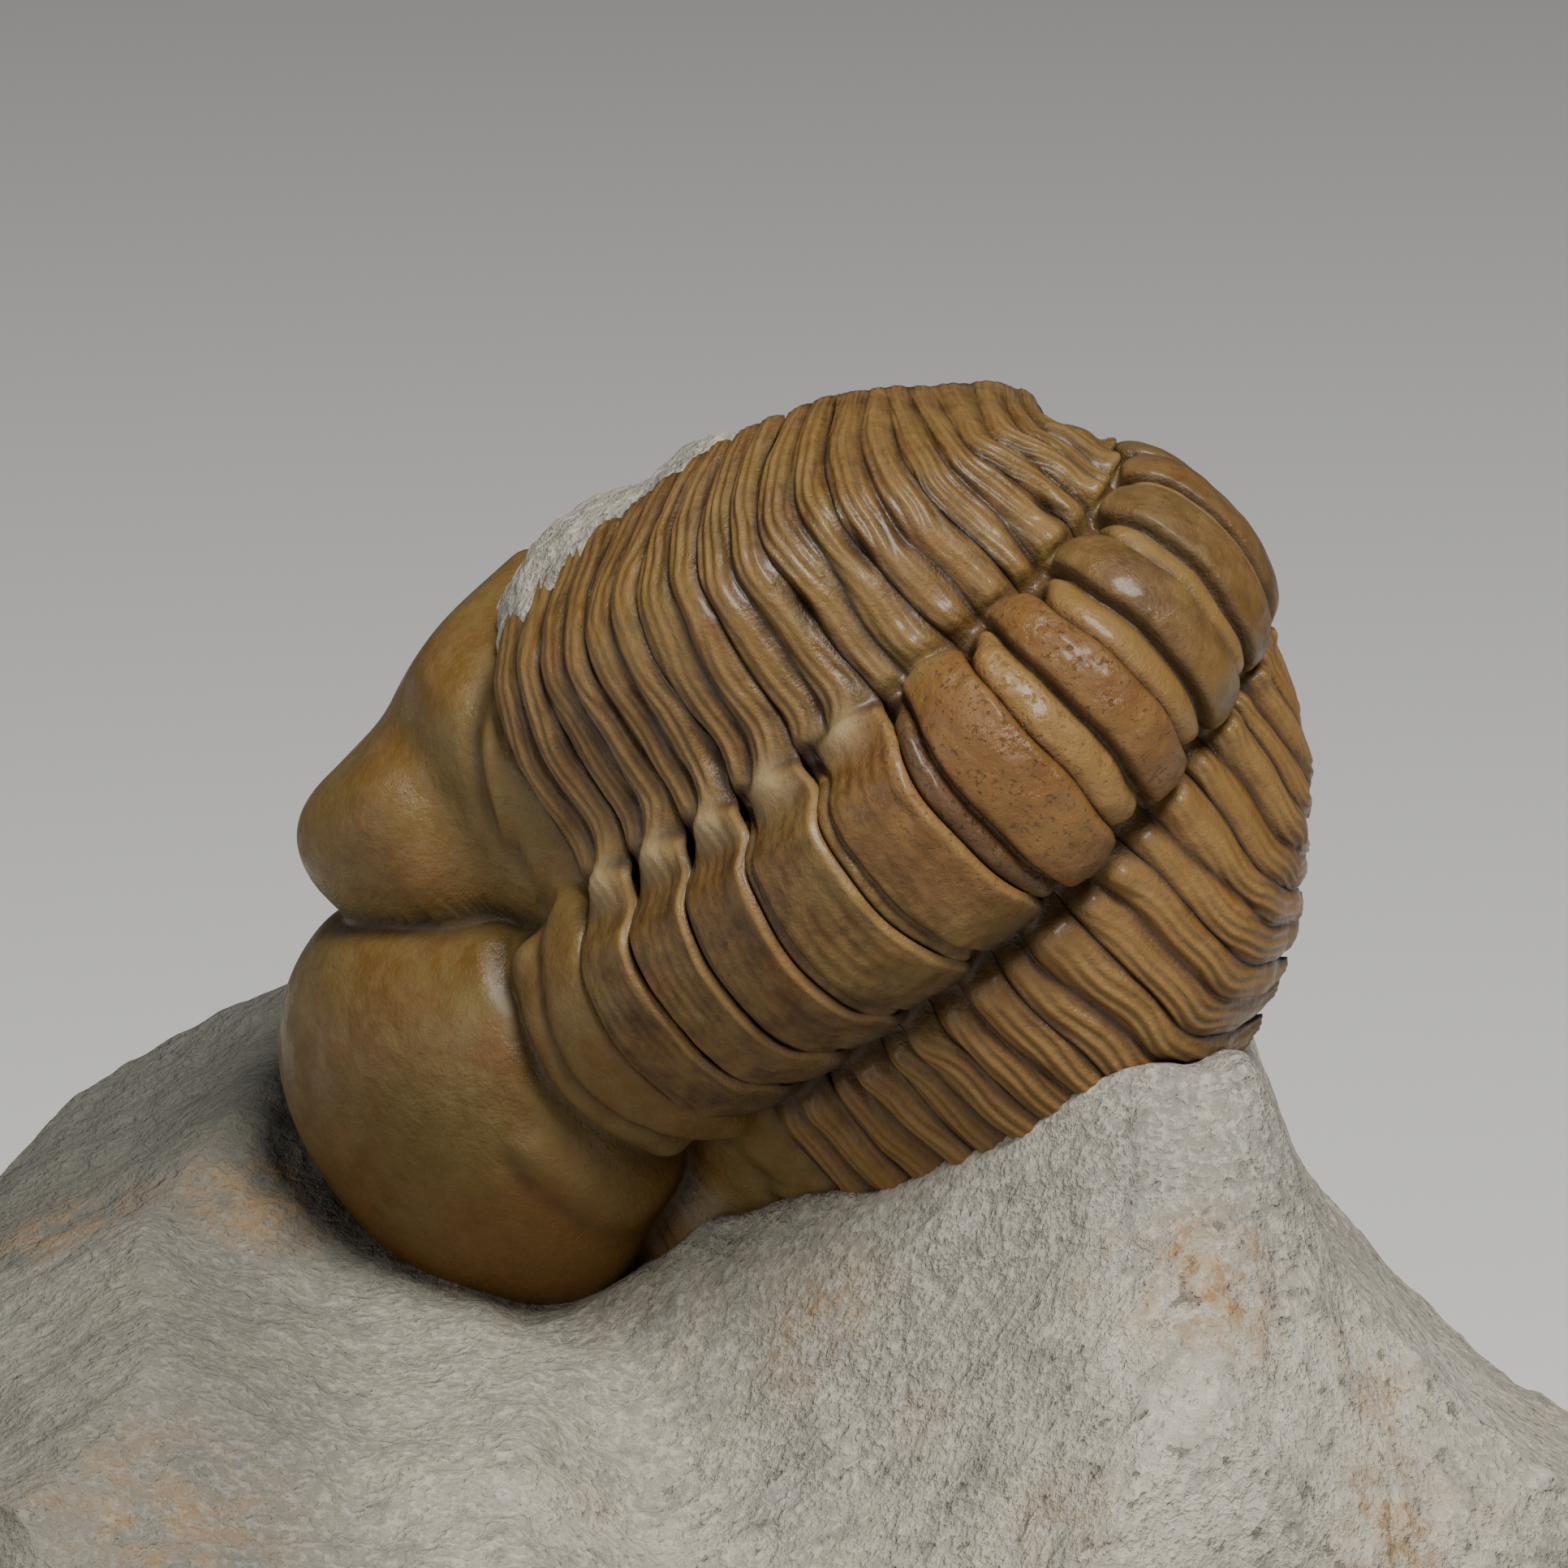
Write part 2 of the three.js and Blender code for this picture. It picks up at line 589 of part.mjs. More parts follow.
animal.add(piece('cephalon', headGeometry({ grow: 0, detail: HEAD_DETAIL }), HEAD));
for (let k = 0; k < SEGMENTS; k += 1) {
  const name = `thoracic_segment_${String(k + 1).padStart(2, '0')}`;
  animal.add(piece(name, segmentGeometry(k), FOSSIL));
}
animal.add(piece('pygidium', pygidiumGeometry(), FOSSIL));

const model = new THREE.Group();
model.add(animal);
model.add(piece('matrix', matrixGeometry(), STONE));

// The origin goes under the middle of the whole piece, on the level of its underside.
const box = new THREE.Box3().setFromObject(model, true);
model.position.set(-(box.min.x + box.max.x) / 2, -(box.min.y + box.max.y) / 2, -box.min.z);

export default model;
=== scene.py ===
# %% [markdown]
# A trilobite that rolled itself partly up, turned to stone and was then freed from the limestone
# on its upper side. The script dresses the plain solids of the CAD frame: it sets up the view,
# shapes eleven thoracic segments, the tail, the head shield and the rock, and gives each one a
# procedural material. The finished pieces are in metres, in the frame of the CAD model. The shapes
# are worked out in millimetres, which suit so small a thing, and turned into metres at the end.

# %% Load the frame and measure it
import math
import bpy
import numpy as np
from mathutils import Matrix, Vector, noise


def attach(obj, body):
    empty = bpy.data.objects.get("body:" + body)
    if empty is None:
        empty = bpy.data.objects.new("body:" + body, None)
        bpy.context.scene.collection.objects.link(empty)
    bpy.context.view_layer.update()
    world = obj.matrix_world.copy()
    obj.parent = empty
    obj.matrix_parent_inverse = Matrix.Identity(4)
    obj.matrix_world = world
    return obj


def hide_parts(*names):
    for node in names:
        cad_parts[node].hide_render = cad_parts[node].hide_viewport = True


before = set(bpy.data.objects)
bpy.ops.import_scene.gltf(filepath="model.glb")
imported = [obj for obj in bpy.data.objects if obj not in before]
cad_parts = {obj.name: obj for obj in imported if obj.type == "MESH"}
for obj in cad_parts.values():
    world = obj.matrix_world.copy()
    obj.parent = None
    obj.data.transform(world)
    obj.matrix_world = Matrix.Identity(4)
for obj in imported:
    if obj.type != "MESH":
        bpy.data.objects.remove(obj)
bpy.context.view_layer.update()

MM = 0.001

# %% [markdown]
# The camera looks level with the specimen, from a little above: the rock's top is seen almost
# edge on. A photographer would take this with a macro lens from about 30 cm away, so the lens is
# long and there is hardly any perspective. The lens could be found by trial, but here it follows
# from how many millimetres one pixel of the photograph covers. HINGE is the place where the first
# segment meets the head, and AIM is the middle of the picture. Depth of field is left off.

# %% Camera
HINGE = np.array([-2.158, -0.185, 12.6])
AIM = HINGE + np.array([2.26, -1.0, 4.94])
MM_PER_PIXEL = 0.0175
PHOTO_PIXELS = 1932
ELEVATION = math.radians(12)
DISTANCE = 300.0

camera_data = bpy.data.cameras.new("camera")
camera_data.lens = camera_data.sensor_width * DISTANCE / (PHOTO_PIXELS * MM_PER_PIXEL)
camera_data.clip_start = 0.01
camera_data.clip_end = 10
camera = bpy.data.objects.new("camera", camera_data)
camera.location = (AIM + DISTANCE * np.array([0, -math.cos(ELEVATION), math.sin(ELEVATION)])) * MM
camera.rotation_euler = (math.pi / 2 - ELEVATION, 0, 0)
bpy.context.collection.objects.link(camera)
bpy.context.scene.camera = camera
print("lens in mm:", round(camera_data.lens, 1))

# %% [markdown]
# The specimen stands on a plain pale table.

# %% Table
TABLE_SIZE = 3
TABLE_MIDDLE = (0, 0.6, 0)
TABLE_COLOR = (0.62, 0.61, 0.59)
TABLE_ROUGHNESS = 0.9


def plain_material(name, color, roughness):
    material = bpy.data.materials.new(name)
    material.use_nodes = True
    shader = material.node_tree.nodes["Principled BSDF"]
    shader.inputs["Base Color"].default_value = (*color, 1)
    shader.inputs["Roughness"].default_value = roughness
    return material


bpy.ops.object.select_all(action="DESELECT")
bpy.ops.mesh.primitive_plane_add(size=TABLE_SIZE, location=TABLE_MIDDLE)
floor = bpy.context.object
floor.name = "table"
floor.data.materials.append(plain_material("pale_table", TABLE_COLOR, TABLE_ROUGHNESS))
print("table in m:", [round(c, 2) for c in floor.dimensions])

# %% [markdown]
# One large soft light from the upper right models the rings and leaves the furrows on the left in
# shade. A weaker and lower one from the left opens the shadows, and the world adds a little even
# light. A sun lamp would be simpler, but it draws shadows with hard edges.

# %% Lights
LIGHT_TARGET = (0, 0, 0.018)
KEY_PLACE, KEY_SIZE, KEY_POWER = (0.06, -0.15, 0.24), 0.10, 1.25
FILL_PLACE, FILL_SIZE, FILL_POWER = (-0.26, -0.20, 0.07), 0.18, 0.28
WORLD_STRENGTH = 0.12


def area_light(name, place, size, power):
    """A square lamp that is turned to the specimen."""
    data = bpy.data.lights.new(name, "AREA")
    data.size = size
    data.energy = power
    light = bpy.data.objects.new(name, data)
    light.location = place
    toward = Vector(LIGHT_TARGET) - Vector(place)
    light.rotation_euler = toward.to_track_quat("-Z", "Y").to_euler()
    bpy.context.collection.objects.link(light)


area_light("key", KEY_PLACE, KEY_SIZE, KEY_POWER)
area_light("fill", FILL_PLACE, FILL_SIZE, FILL_POWER)
world = bpy.data.worlds.new("studio")
world.use_nodes = True
background = world.node_tree.nodes["Background"]
background.inputs["Color"].default_value = (1, 1, 1, 1)
background.inputs["Strength"].default_value = WORLD_STRENGTH
bpy.context.scene.world = world
print("lights in W:", {light.name: round(light.energy, 2) for light in bpy.data.lights})

# %% [markdown]
# The body is a chain. Each segment turns a little against the one before it, less than 4 degrees
# behind the head and about 20 near the tail, which is what rolls the animal up. An armature could
# do this too, but a list of joints, each a place and a turn, is easier to check. These are the
# values of the CAD model. Joint 0 is the hinge between the head and the first segment. In the
# animal's own frame x runs to the tail, y to its right and z out of its back.

# %% The chain of joints
SEGMENTS = 11
SEGMENT_LENGTH = 1.97
FLEX = np.radians([0, 1.3, 3.5, 12.9, 14.3, 15, 16.9, 18.6, 20, 20, 20])
YAW_STEP, ROLL_STEP = np.radians([0.54, 0.69])
POSE_X, POSE_Y, POSE_Z = math.radians(115.5), math.radians(-28), math.radians(-50)


def turn_x(a):
    return np.array([[1, 0, 0], [0, math.cos(a), -math.sin(a)], [0, math.sin(a), math.cos(a)]])


def turn_y(a):
    return np.array([[math.cos(a), 0, math.sin(a)], [0, 1, 0], [-math.sin(a), 0, math.cos(a)]])


def turn_z(a):
    return np.array([[math.cos(a), -math.sin(a), 0], [math.sin(a), math.cos(a), 0], [0, 0, 1]])


ANIMAL = turn_z(POSE_Z) @ turn_y(POSE_Y) @ turn_x(POSE_X)
joints = [(np.zeros(3), np.eye(3))]
for flex in FLEX:
    spot, turn = joints[-1]
    turn = turn @ turn_y(flex) @ turn_z(YAW_STEP) @ turn_x(ROLL_STEP)
    joints.append((spot + turn @ [SEGMENT_LENGTH, 0, 0], turn))


def to_metres(points):
    """From the animal's own frame in millimetres to the row frame in metres."""
    return (points @ ANIMAL.T + HINGE) * MM


print("tail joint in mm:", (to_metres(joints[-1][0]) / MM).round(2))

# %% [markdown]
# Across the body, the shell is an arch over the axis, a nearly flat inner pleura as far as the
# fulcrum, and an outer pleura that bends steeply down. A drawn curve would give one such line,
# but each of the twelve joints has its own, so it is a formula whose measures change with k, the
# number of the joint. The place across is one number, q: -1 is the left tip, 0 the crest of the
# arch and 1 the right tip.

# %% The cross-section
ARCH_END, FULCRUM = 0.36, 0.66
FULCRUM_DROP = 0.5
ARCH_POWER = 0.8
BEND_ACROSS, BEND_DOWN = 0.8, 0.14


def smooth(a, b, x):
    """0 up to a, 1 from b on, and a soft step between them."""
    t = np.clip((x - a) / (b - a), 0, 1)
    return t * t * (3 - 2 * t)


def section_sizes(k):
    """Measures of the line at joint k, in mm.

    axis and height are the arch's half width and height, inner and outer the widths of the two
    parts of the pleura, tip how far it hangs down and sweep how far it is swept back. soft is
    how round the corners on the right are, in q. The right pleurae reach and sweep further.
    """
    width = 1 + 0.0188 * k - 0.0081 * k * k
    past = k - 4
    return {
        "axis": 3.0 * (1 - 0.014 * k) * (1 - 0.12 * smooth(5.5, 8, k)),
        "height": 2.38 * (1 - 0.0186 * k) * (1 - 0.42 * smooth(6.5, 11, k)),
        "inner": 4.12 * width,
        "outer": 2.03 * width,
        "tip": 4.16 * width,
        "sweep": 0.35 + 0.23 * past + 0.014 * past * past,
        "soft": 0.075 * (1 - smooth(4, 6, k)),
        "right_sweep": 0.75 * smooth(2.5, 5.5, k),
        "right_reach": 0.08 * smooth(1.5, 3.5, k) * (1 - smooth(7, 10, k)),
    }


def section(sizes, q):
    """Sideways and upward place of the section's line at q."""
    side, s = np.sign(q), np.abs(q)
    a = np.clip(s / ARCH_END, 0, 1) * math.pi / 2
    t1 = np.clip((s - ARCH_END) / (FULCRUM - ARCH_END), 0, 1)
    t2 = np.clip((s - FULCRUM) / (1 - FULCRUM), 0, 1)
    reach = np.where(q > 0, 1 + sizes["right_reach"], 1)
    bulge = (2 * t2 * (1 - t2) * BEND_ACROSS + t2 * t2 * reach) * sizes["outer"]
    drop = (2 * t2 * (1 - t2) * BEND_DOWN + t2 * t2 * reach) * sizes["tip"]
    y = side * (sizes["axis"] * np.sin(a) + sizes["inner"] * t1 + bulge)
    z = sizes["height"] * np.maximum(np.cos(a), 0) ** ARCH_POWER - FULCRUM_DROP * t1 * t1 - drop
    return y, z


def rounded_section(sizes, q):
    """The same line with its corners rounded off, most of all on the right near the head."""
    reach = 0.02 + sizes["soft"] * smooth(0.12, 0.28, q)
    reach = np.minimum(reach, 1 - np.abs(q))
    near = [section(sizes, q + reach * d) for d in np.linspace(-1, 1, 9)]
    return np.mean([y for y, z in near], axis=0), np.mean([z for y, z in near], axis=0)


def lifted(sizes, q, lift):
    """The section's line at q, moved out square to itself."""
    step = 0.02
    y0, z0 = rounded_section(sizes, np.maximum(q - step, -1))
    y1, z1 = rounded_section(sizes, np.minimum(q + step, 1))
    length = np.hypot(y1 - y0, z1 - z0)
    y, z = rounded_section(sizes, q)
    return y - (z1 - z0) / length * lift, z + (y1 - y0) / length * lift


line = section(section_sizes(0), np.array([-1, 0, 1]))
print("width and height of the first section in mm:", [np.ptp(part).round(2) for part in line])

# %% [markdown]
# The joint lines of the fossil aren't straight. The pleurae sweep back towards their tips, the
# lines waver, and they are kinked where they climb on to the rings. The outer ends of the first and
# last right pleurae are worn away. All of that is added to the section, joint by joint, so
# that two neighbours always share the same line and no gap opens between them.

# %% Places on a joint
WORN_FRONT, WORN_REAR = 0.10, 0.55
LINE_WAVES = ((0.06, 7, 2.1), (0.045, 15, 5.3), (0.025, 31, 1.7))
KINK_RIGHT, KINK_LEFT = 0.17, 0.05


def bump(x, middle, half):
    """A bell curve, 1 high."""
    return np.exp(-(((x - middle) / half) ** 2))


def waves(k, q, *parts):
    """A few sines of q that differ from joint to joint: (height, waves, phase) each."""
    return sum(height * np.sin(often * q + phase * k + often) for height, often, phase in parts)


def broken_off(q, share):
    """Keeps only a share of the outer pleura on the right."""
    return np.where(q > FULCRUM, FULCRUM + (q - FULCRUM) * share, q)


def on_joint(k, q, lift):
    """Places on joint k in the animal's own frame, lifted off the section's line."""
    sizes = section_sizes(k)
    kept = 1 - WORN_FRONT * (1 - smooth(1.5, 4, k)) - WORN_REAR * smooth(8.1, 9.9, k)
    y, z = lifted(sizes, broken_off(q, kept), lift)
    t = np.clip((np.abs(q) - FULCRUM) / (1 - FULCRUM), 0, 1)
    sweep = (sizes["sweep"] + np.where(q > 0, sizes["right_sweep"], 0)) * t * t
    sweep = sweep * np.where(q > 0, 1 - 0.45 * smooth(7, 10.5, k), 1)
    if 0 < k < SEGMENTS:
        sweep = sweep + waves(k, q, *LINE_WAVES)
        kink = bump(np.abs(q), 0.265, 0.05) - 0.5 * bump(np.abs(q), 0.37, 0.04)
        sweep = sweep + np.where(q > 0, KINK_RIGHT, KINK_LEFT) * kink * (1 - smooth(3.5, 6.5, k))
    spot, turn = joints[k]
    return spot + np.stack([sweep, y, z], -1) @ turn.T


print("right tip on joint 5 in mm:", (to_metres(on_joint(5, np.array(1.0), 0)) / MM).round(2))

# %% [markdown]
# One segment carries a lot of relief, and the rows of its grid run from its front edge (v = 0) to
# its back edge (v = 1). Over the axis, a smooth half ring in front slides under the ring of the
# segment ahead. A furrow parts it from its own ring, which ends in a knob on each side. All of it
# could be sculpted, but eleven segments of one plan are made more evenly by formulas, in which
# k, the number of the segment, changes what changes towards the tail. Heights are in mm.

# %% Relief of a ring
HALF_RING_SHARES = [0.07, 0.07, 0.09, 0.13, 0.17, 0.27, 0.45, 0.42, 0.38, 0.34, 0.30]
KNOB_PLACE, KNOB_HEIGHT = 0.335, 0.38
WAIST_PLACE, WAIST_DEPTH = 0.240, 0.14
PIT_DEPTH = 0.20
RING_LINES, RING_LINE_HEIGHT = 6, 0.008


def dome(x, power):
    """A rounded ridge between 0 and 1, flatter on top for a lower power."""
    return np.sin(math.pi * np.clip(x, 0, 1)) ** power


def ring_relief(k, q, v, share):
    """The axis: half ring, furrow, ring with a raised back lip and a knob near each end."""
    s = np.abs(q)
    w = np.clip((v - share) / (1 - share), 0, 1)
    rear = smooth(3.5, 5.5, k)
    swollen = smooth(4, 5, k) * (1 - 0.5 * smooth(7, 9, k))
    ring = (0.03 + 0.17 * swollen) * dome(w ** 0.9, 0.7) + 0.05 * (1 - rear) * bump(w, 0.88, 0.12)
    ring = ring - 0.12 * smooth(0.93, 1, w)
    half_ring = -0.19 - 0.09 * rear + (0.06 + 0.16 * rear) * dome(v / share, 0.8)
    is_ring = smooth(share - 0.04, share + 0.05, v)
    height = half_ring * (1 - is_ring) + ring * is_ring
    height = height - (0.06 + 0.06 * rear) * bump(v, share - 0.01, 0.05)

    waist = bump(s, WAIST_PLACE, 0.045) * is_ring
    knob = bump(s, KNOB_PLACE, 0.052) * bump(v, 0.58, 0.27) * (1 - 0.85 * rear)
    knob = knob * np.where(q > 0, 1, 0.25)
    pit = bump(s, KNOB_PLACE, 0.045) * bump(v, 0.08, 0.16)
    height = height - WAIST_DEPTH * waist * (1 - rear) - PIT_DEPTH * pit

    wander = waves(k, q, (0.4, 5, 2.7), (0.2, 19, 1.1))
    lines = np.cos(2 * math.pi * (RING_LINES * w + wander)) * (1 - rear) * is_ring
    height = height + RING_LINE_HEIGHT * lines * (1 + waves(k, q, (0.6, 9, 4.1), (0.5, 25, 0.9)))
    lip = np.maximum(bump(v, 0.955, 0.03), 0.16 * np.clip(lines, 0, 1) ** 2) * (1 - rear)
    return height, knob, pit, lip, is_ring


# %% [markdown]
# Each pleura is split by a slanting furrow into a front and a back band. Past the fulcrum the two
# run together into one rounded rib. Fine wavering lines along it stand for the worn layers of the
# shell, and a low root swells where the back band leaves the axis.

# %% Relief of a pleura
SPLIT = 0.40
FRONT_BAND, BACK_BAND, RIB = 0.17, 0.23, 0.24
SINK = 0.12
SIDE_LINES, SIDE_LINE_HEIGHT = 7, 0.024
ROOT_PLACE, ROOT_HEIGHT = 0.412, 0.22


def pleura_relief(k, q, v):
    """Height, and how far a corner lies up a band's crest or in a line."""
    s = np.abs(q)
    inner = np.clip((s - ARCH_END) / (FULCRUM - ARCH_END), 0, 1)
    outer = smooth(FULCRUM, 0.95, s)
    split = SPLIT + 0.14 * inner + waves(k, q, (0.035, 11, 2.9), (0.025, 23, 4.1))
    front = v / split
    back = (v - split) / (1 - split)
    is_back = v >= split
    strong = 1 + waves(k, q, (0.22, 9, 3.1), (0.16, 21, 1.3))
    bands = np.where(is_back, BACK_BAND * dome(back, 0.9), FRONT_BAND * strong * dome(front, 0.9))
    share = 0.4 * outer
    height = bands * (1 - share) + RIB * dome(v, 0.8) * share - SINK

    wander = waves(k, q, (0.45, 6, 1.9), (0.30, 17, 4.4), (0.15, 37, 2.2))
    lines = np.cos(2 * math.pi * (SIDE_LINES * v + wander)) * (1 + waves(k, q, (0.5, 13, 0.7)))
    on_side = smooth(0.36, 0.44, s)
    height = height + SIDE_LINE_HEIGHT * lines * on_side * (1 - 0.6 * smooth(7, 10, k))
    root = bump(s, ROOT_PLACE, 0.034)
    root = root * np.where(q > 0, 0.4 + 0.6 * smooth(3.5, 5.5, k), 1)
    height = height + ROOT_HEIGHT * root * np.where(is_back, dome(back, 1), 0.4 * dome(front, 1))
    crest = np.where(is_back, dome(back, 2.5), 0.85 * dome(front, 2.5)) * (1 - 0.3 * outer)
    line = np.maximum(bump(v, split, 0.055) * (1 - 0.5 * outer), 0.45 * np.clip(-lines, 0, 1) ** 2)
    return height, crest, line


# %% [markdown]
# Ring and pleurae meet in the furrow beside the axis, which is deeper on the left and darkened
# there with painted shade, and a few joints stand open for a short stretch. Besides its height,
# each corner remembers how deep down in the hollows it lies, which sets its painted shade, how far
# up a ridge, which sets a painted highlight or the pale of the rear half rings, and how far up a
# knob, which sets another painted highlight. Painting these by hand would take long, and the
# formulas know them anyway.

# %% Relief of a whole segment
OPEN_JOINTS = {4: (0.58, 0.06), 5: (0.62, 0.05), 2: (0.45, 0.05), 7: (0.47, 0.04)}
CRACK_DEPTH = 0.22
FURROW_PLACE, FURROW_DEPTH = 0.362, 0.20
SHADE_PLACE, SHADE_DEPTH = -0.355, 0.22
DEEPEST = -0.42
# The half ring of this segment gets painted shade.
SHADED_HALF_RING = 5


def open_crack(k, q, v):
    """The open stretches of the joints in front of segment k and behind it, up to 1."""
    crack = 0 * q
    if k in OPEN_JOINTS:
        crack = bump(q, *OPEN_JOINTS[k]) * smooth(0.80, 0.96, v)
    if k - 1 in OPEN_JOINTS:
        crack = bump(q, *OPEN_JOINTS[k - 1]) * (1 - smooth(0.02, 0.14, v)) + crack
    return crack


def segment_relief(k, q, v):
    """Height of each corner, and its hollow, ridge and knob values for the material."""
    s = np.abs(q)
    share = HALF_RING_SHARES[k]
    rear, last = smooth(3.5, 5.5, k), smooth(5, 8, k)
    axial = 1 - smooth(ARCH_END - 0.03, ARCH_END + 0.025, s)
    axis_height, knob, pit, lip, is_ring = ring_relief(k, q, v, share)
    side_height, crest, line = pleura_relief(k, q, v)
    height = axis_height * axial + side_height * (1 - axial) + KNOB_HEIGHT * knob

    furrow = bump(s, FURROW_PLACE, 0.02) * (1 - 0.9 * bump(v, 0.62, 0.26) * (1 - 0.5 * rear))
    height = height - FURROW_DEPTH * furrow * np.where(q > 0, 0.5 + 0.5 * rear, 1)
    shade = bump(q, SHADE_PLACE, 0.045) * smooth(-0.5, 1, k) * (1 - smooth(5, 7, k))
    shade = shade * (1 - 0.5 * bump(v, 0.7, 0.2))
    height = height - SHADE_DEPTH * shade
    height = np.maximum(height * (1 - 0.5 * smooth(0.95, 1, s)), DEEPEST)
    crack = open_crack(k, q, v)
    height = height - CRACK_DEPTH * crack

    edge = np.maximum(1 - smooth(0.01, 0.09, v), smooth(0.93, 1.0, v))
    clean = smooth(0.92 - 0.22 * last, 1 - 0.12 * last, s)
    edge = edge * (1 - np.where(q > 0, 0.85, 0.5 * last) * clean)
    # Painted shade over the left ends of the front rings, beside the axial furrow.
    left_furrow_shade = 0.9 * smooth(-0.21, -0.32, q) * (1 - smooth(0.36, 0.42, s)) * (1 - smooth(4.5, 6.5, k))
    neck = bump(v, share, 0.045) * axial
    front_edge = (1 - smooth(0.0, 0.06, v)) * axial
    # Painted shade: one segment's half ring is darkened.
    half_ring_shade = (1 - is_ring) * axial * (0.6 if k == SHADED_HALF_RING else 0.0)
    # Painted shade: all of these darken the colour in furrows, joints, cracks and pits.
    hollow_shade = np.maximum.reduce([
        furrow * (1 - 0.4 * rear), shade, left_furrow_shade, np.minimum(crack, 1), edge * (1 - axial),
        line * 0.85 * (1 - axial), neck * (0.5 + 0.4 * rear), pit, front_edge, half_ring_shade,
    ])
    # Pale on ridges: a painted highlight on the pleural crests, the ring lips and the knobs, and the
    # rear half rings' own pale colour.
    pale_half = (1 - is_ring) * axial * smooth(5, 6, k) * smooth(0.05, 0.14, v)
    ridge = np.maximum.reduce([knob, crest * (1 - axial) * 0.9, pale_half, lip * axial])
    return height, np.clip(hollow_shade, 0, 1), np.clip(ridge, 0, 1), np.clip(knob * 1.2, 0, 1)


across_one = np.linspace(-1, 1, 201)
heights = segment_relief(1, across_one, np.full(201, 0.6))[0]
print("relief of the second ring in mm:", heights.min().round(2), "to", heights.max().round(2))

# %% [markdown]
# A segment of the fossil is a sheet of shell. It starts as a plain grid, whose corners the formulas
# put in place, and a Solidify modifier gives it its thickness, inward, so that the outside stays
# as shaped. Extruding it inward would do the same, but Solidify also takes shares from a
# vertex group: the sheet has to be thinner at the right tips near the tail, or it would poke
# through the next one there. Doubles are merged and the normals turned outward at the end.

# %% Helpers for sheets
def select_only(thing):
    bpy.ops.object.select_all(action="DESELECT")
    thing.select_set(True)
    bpy.context.view_layer.objects.active = thing


def add_values(mesh, **values):
    """Stores a number per corner for the material to read."""
    for name, value in values.items():
        attribute = mesh.attributes.new(name, "FLOAT", "POINT")
        attribute.data.foreach_set("value", np.asarray(value, np.float32).ravel())


def place_corners(mesh, places):
    mesh.vertices.foreach_set("co", places.astype(np.float32).ravel())
    mesh.update()


def shaped_grid(name, rows, columns, places, values):
    """A grid of rows x columns faces with its corners moved to their places."""
    bpy.ops.object.select_all(action="DESELECT")
    bpy.ops.mesh.primitive_grid_add(x_subdivisions=columns, y_subdivisions=rows, size=2)
    piece = bpy.context.object
    piece.name = piece.data.name = name
    add_values(piece.data, **values)
    place_corners(piece.data, places)
    return piece


def apply(piece, kind, **settings):
    """Adds a modifier, sets it and applies it."""
    select_only(piece)
    modifier = piece.modifiers.new(kind.lower(), kind)
    for key, value in settings.items():
        setattr(modifier, key, value)
    bpy.ops.object.modifier_apply(modifier=modifier.name)


def thicken(piece, thickness, shares):
    """Gives a sheet its thickness in mm, inward; each corner gets its own share of it."""
    group = piece.vertex_groups.new(name="thickness")
    for corner, share in enumerate(shares.ravel()):
        group.add([corner], float(share), "REPLACE")
    apply(piece, "SOLIDIFY", thickness=thickness * MM, offset=1, vertex_group=group.name)
    piece.vertex_groups.clear()


def outward(piece):
    """Merges doubles, turns the faces outward and shades them smooth."""
    select_only(piece)
    bpy.ops.object.mode_set(mode="EDIT")
    bpy.ops.mesh.select_all(action="SELECT")
    bpy.ops.mesh.remove_doubles(threshold=1e-7)
    bpy.ops.mesh.normals_make_consistent(inside=False)
    bpy.ops.object.mode_set(mode="OBJECT")
    bpy.ops.object.shade_smooth()


# %% [markdown]
# One loop makes all eleven. Copies of one segment would look stamped, and each has another size and
# bend. The front row of a segment lies on one joint and its back row on the next, and OVERLAP puts
# its front edge a little under the segment ahead. The tips are pinched narrower, so that each ends
# by itself, but those on the right spread towards the rear. Soft noise keeps the surface uneven.
# Each corner also stores where it lies: on the axis or not, how far along the body and how far
# across.

# %% Make the segments
ACROSS, ALONG = 260, 48
SHELL = 0.6
OVERLAP = 0.02
PINCH_RIGHT, PINCH_LEFT, SPREAD_RIGHT = 0.10, 0.26, 0.28
UNEVEN, FINE, LUMPY = 0.05, 0.012, 0.05


def stations(count):
    """Places across the body, closer together round the axial furrows."""
    u = np.linspace(-1, 1, count + 1)
    return u + 0.021 * np.sin(2 * math.pi * u)


def fractal(points, size, octaves, seed):
    """Soft uneven noise, about -1 to 1, at each place in mm."""
    flat = points.reshape(-1, 3) / size + seed
    values = [noise.fractal(Vector(p), 0.9, 2.0, octaves) for p in flat]
    return np.reshape(values, points.shape[:-1])


def uneven_height(k, q, base):
    """Soft noise all over, and lumps on the orange rings in the middle."""
    uneven = UNEVEN * fractal(base, 1.5, 2, 5.0) + FINE * fractal(base, 0.4, 2, 8.0)
    lumpy = smooth(3, 4.5, k) * (1 - smooth(6, 7.5, k)) * (1 - smooth(0.30, 0.36, np.abs(q)))
    return uneven + LUMPY * lumpy * fractal(base, 0.5, 3, 2.0)


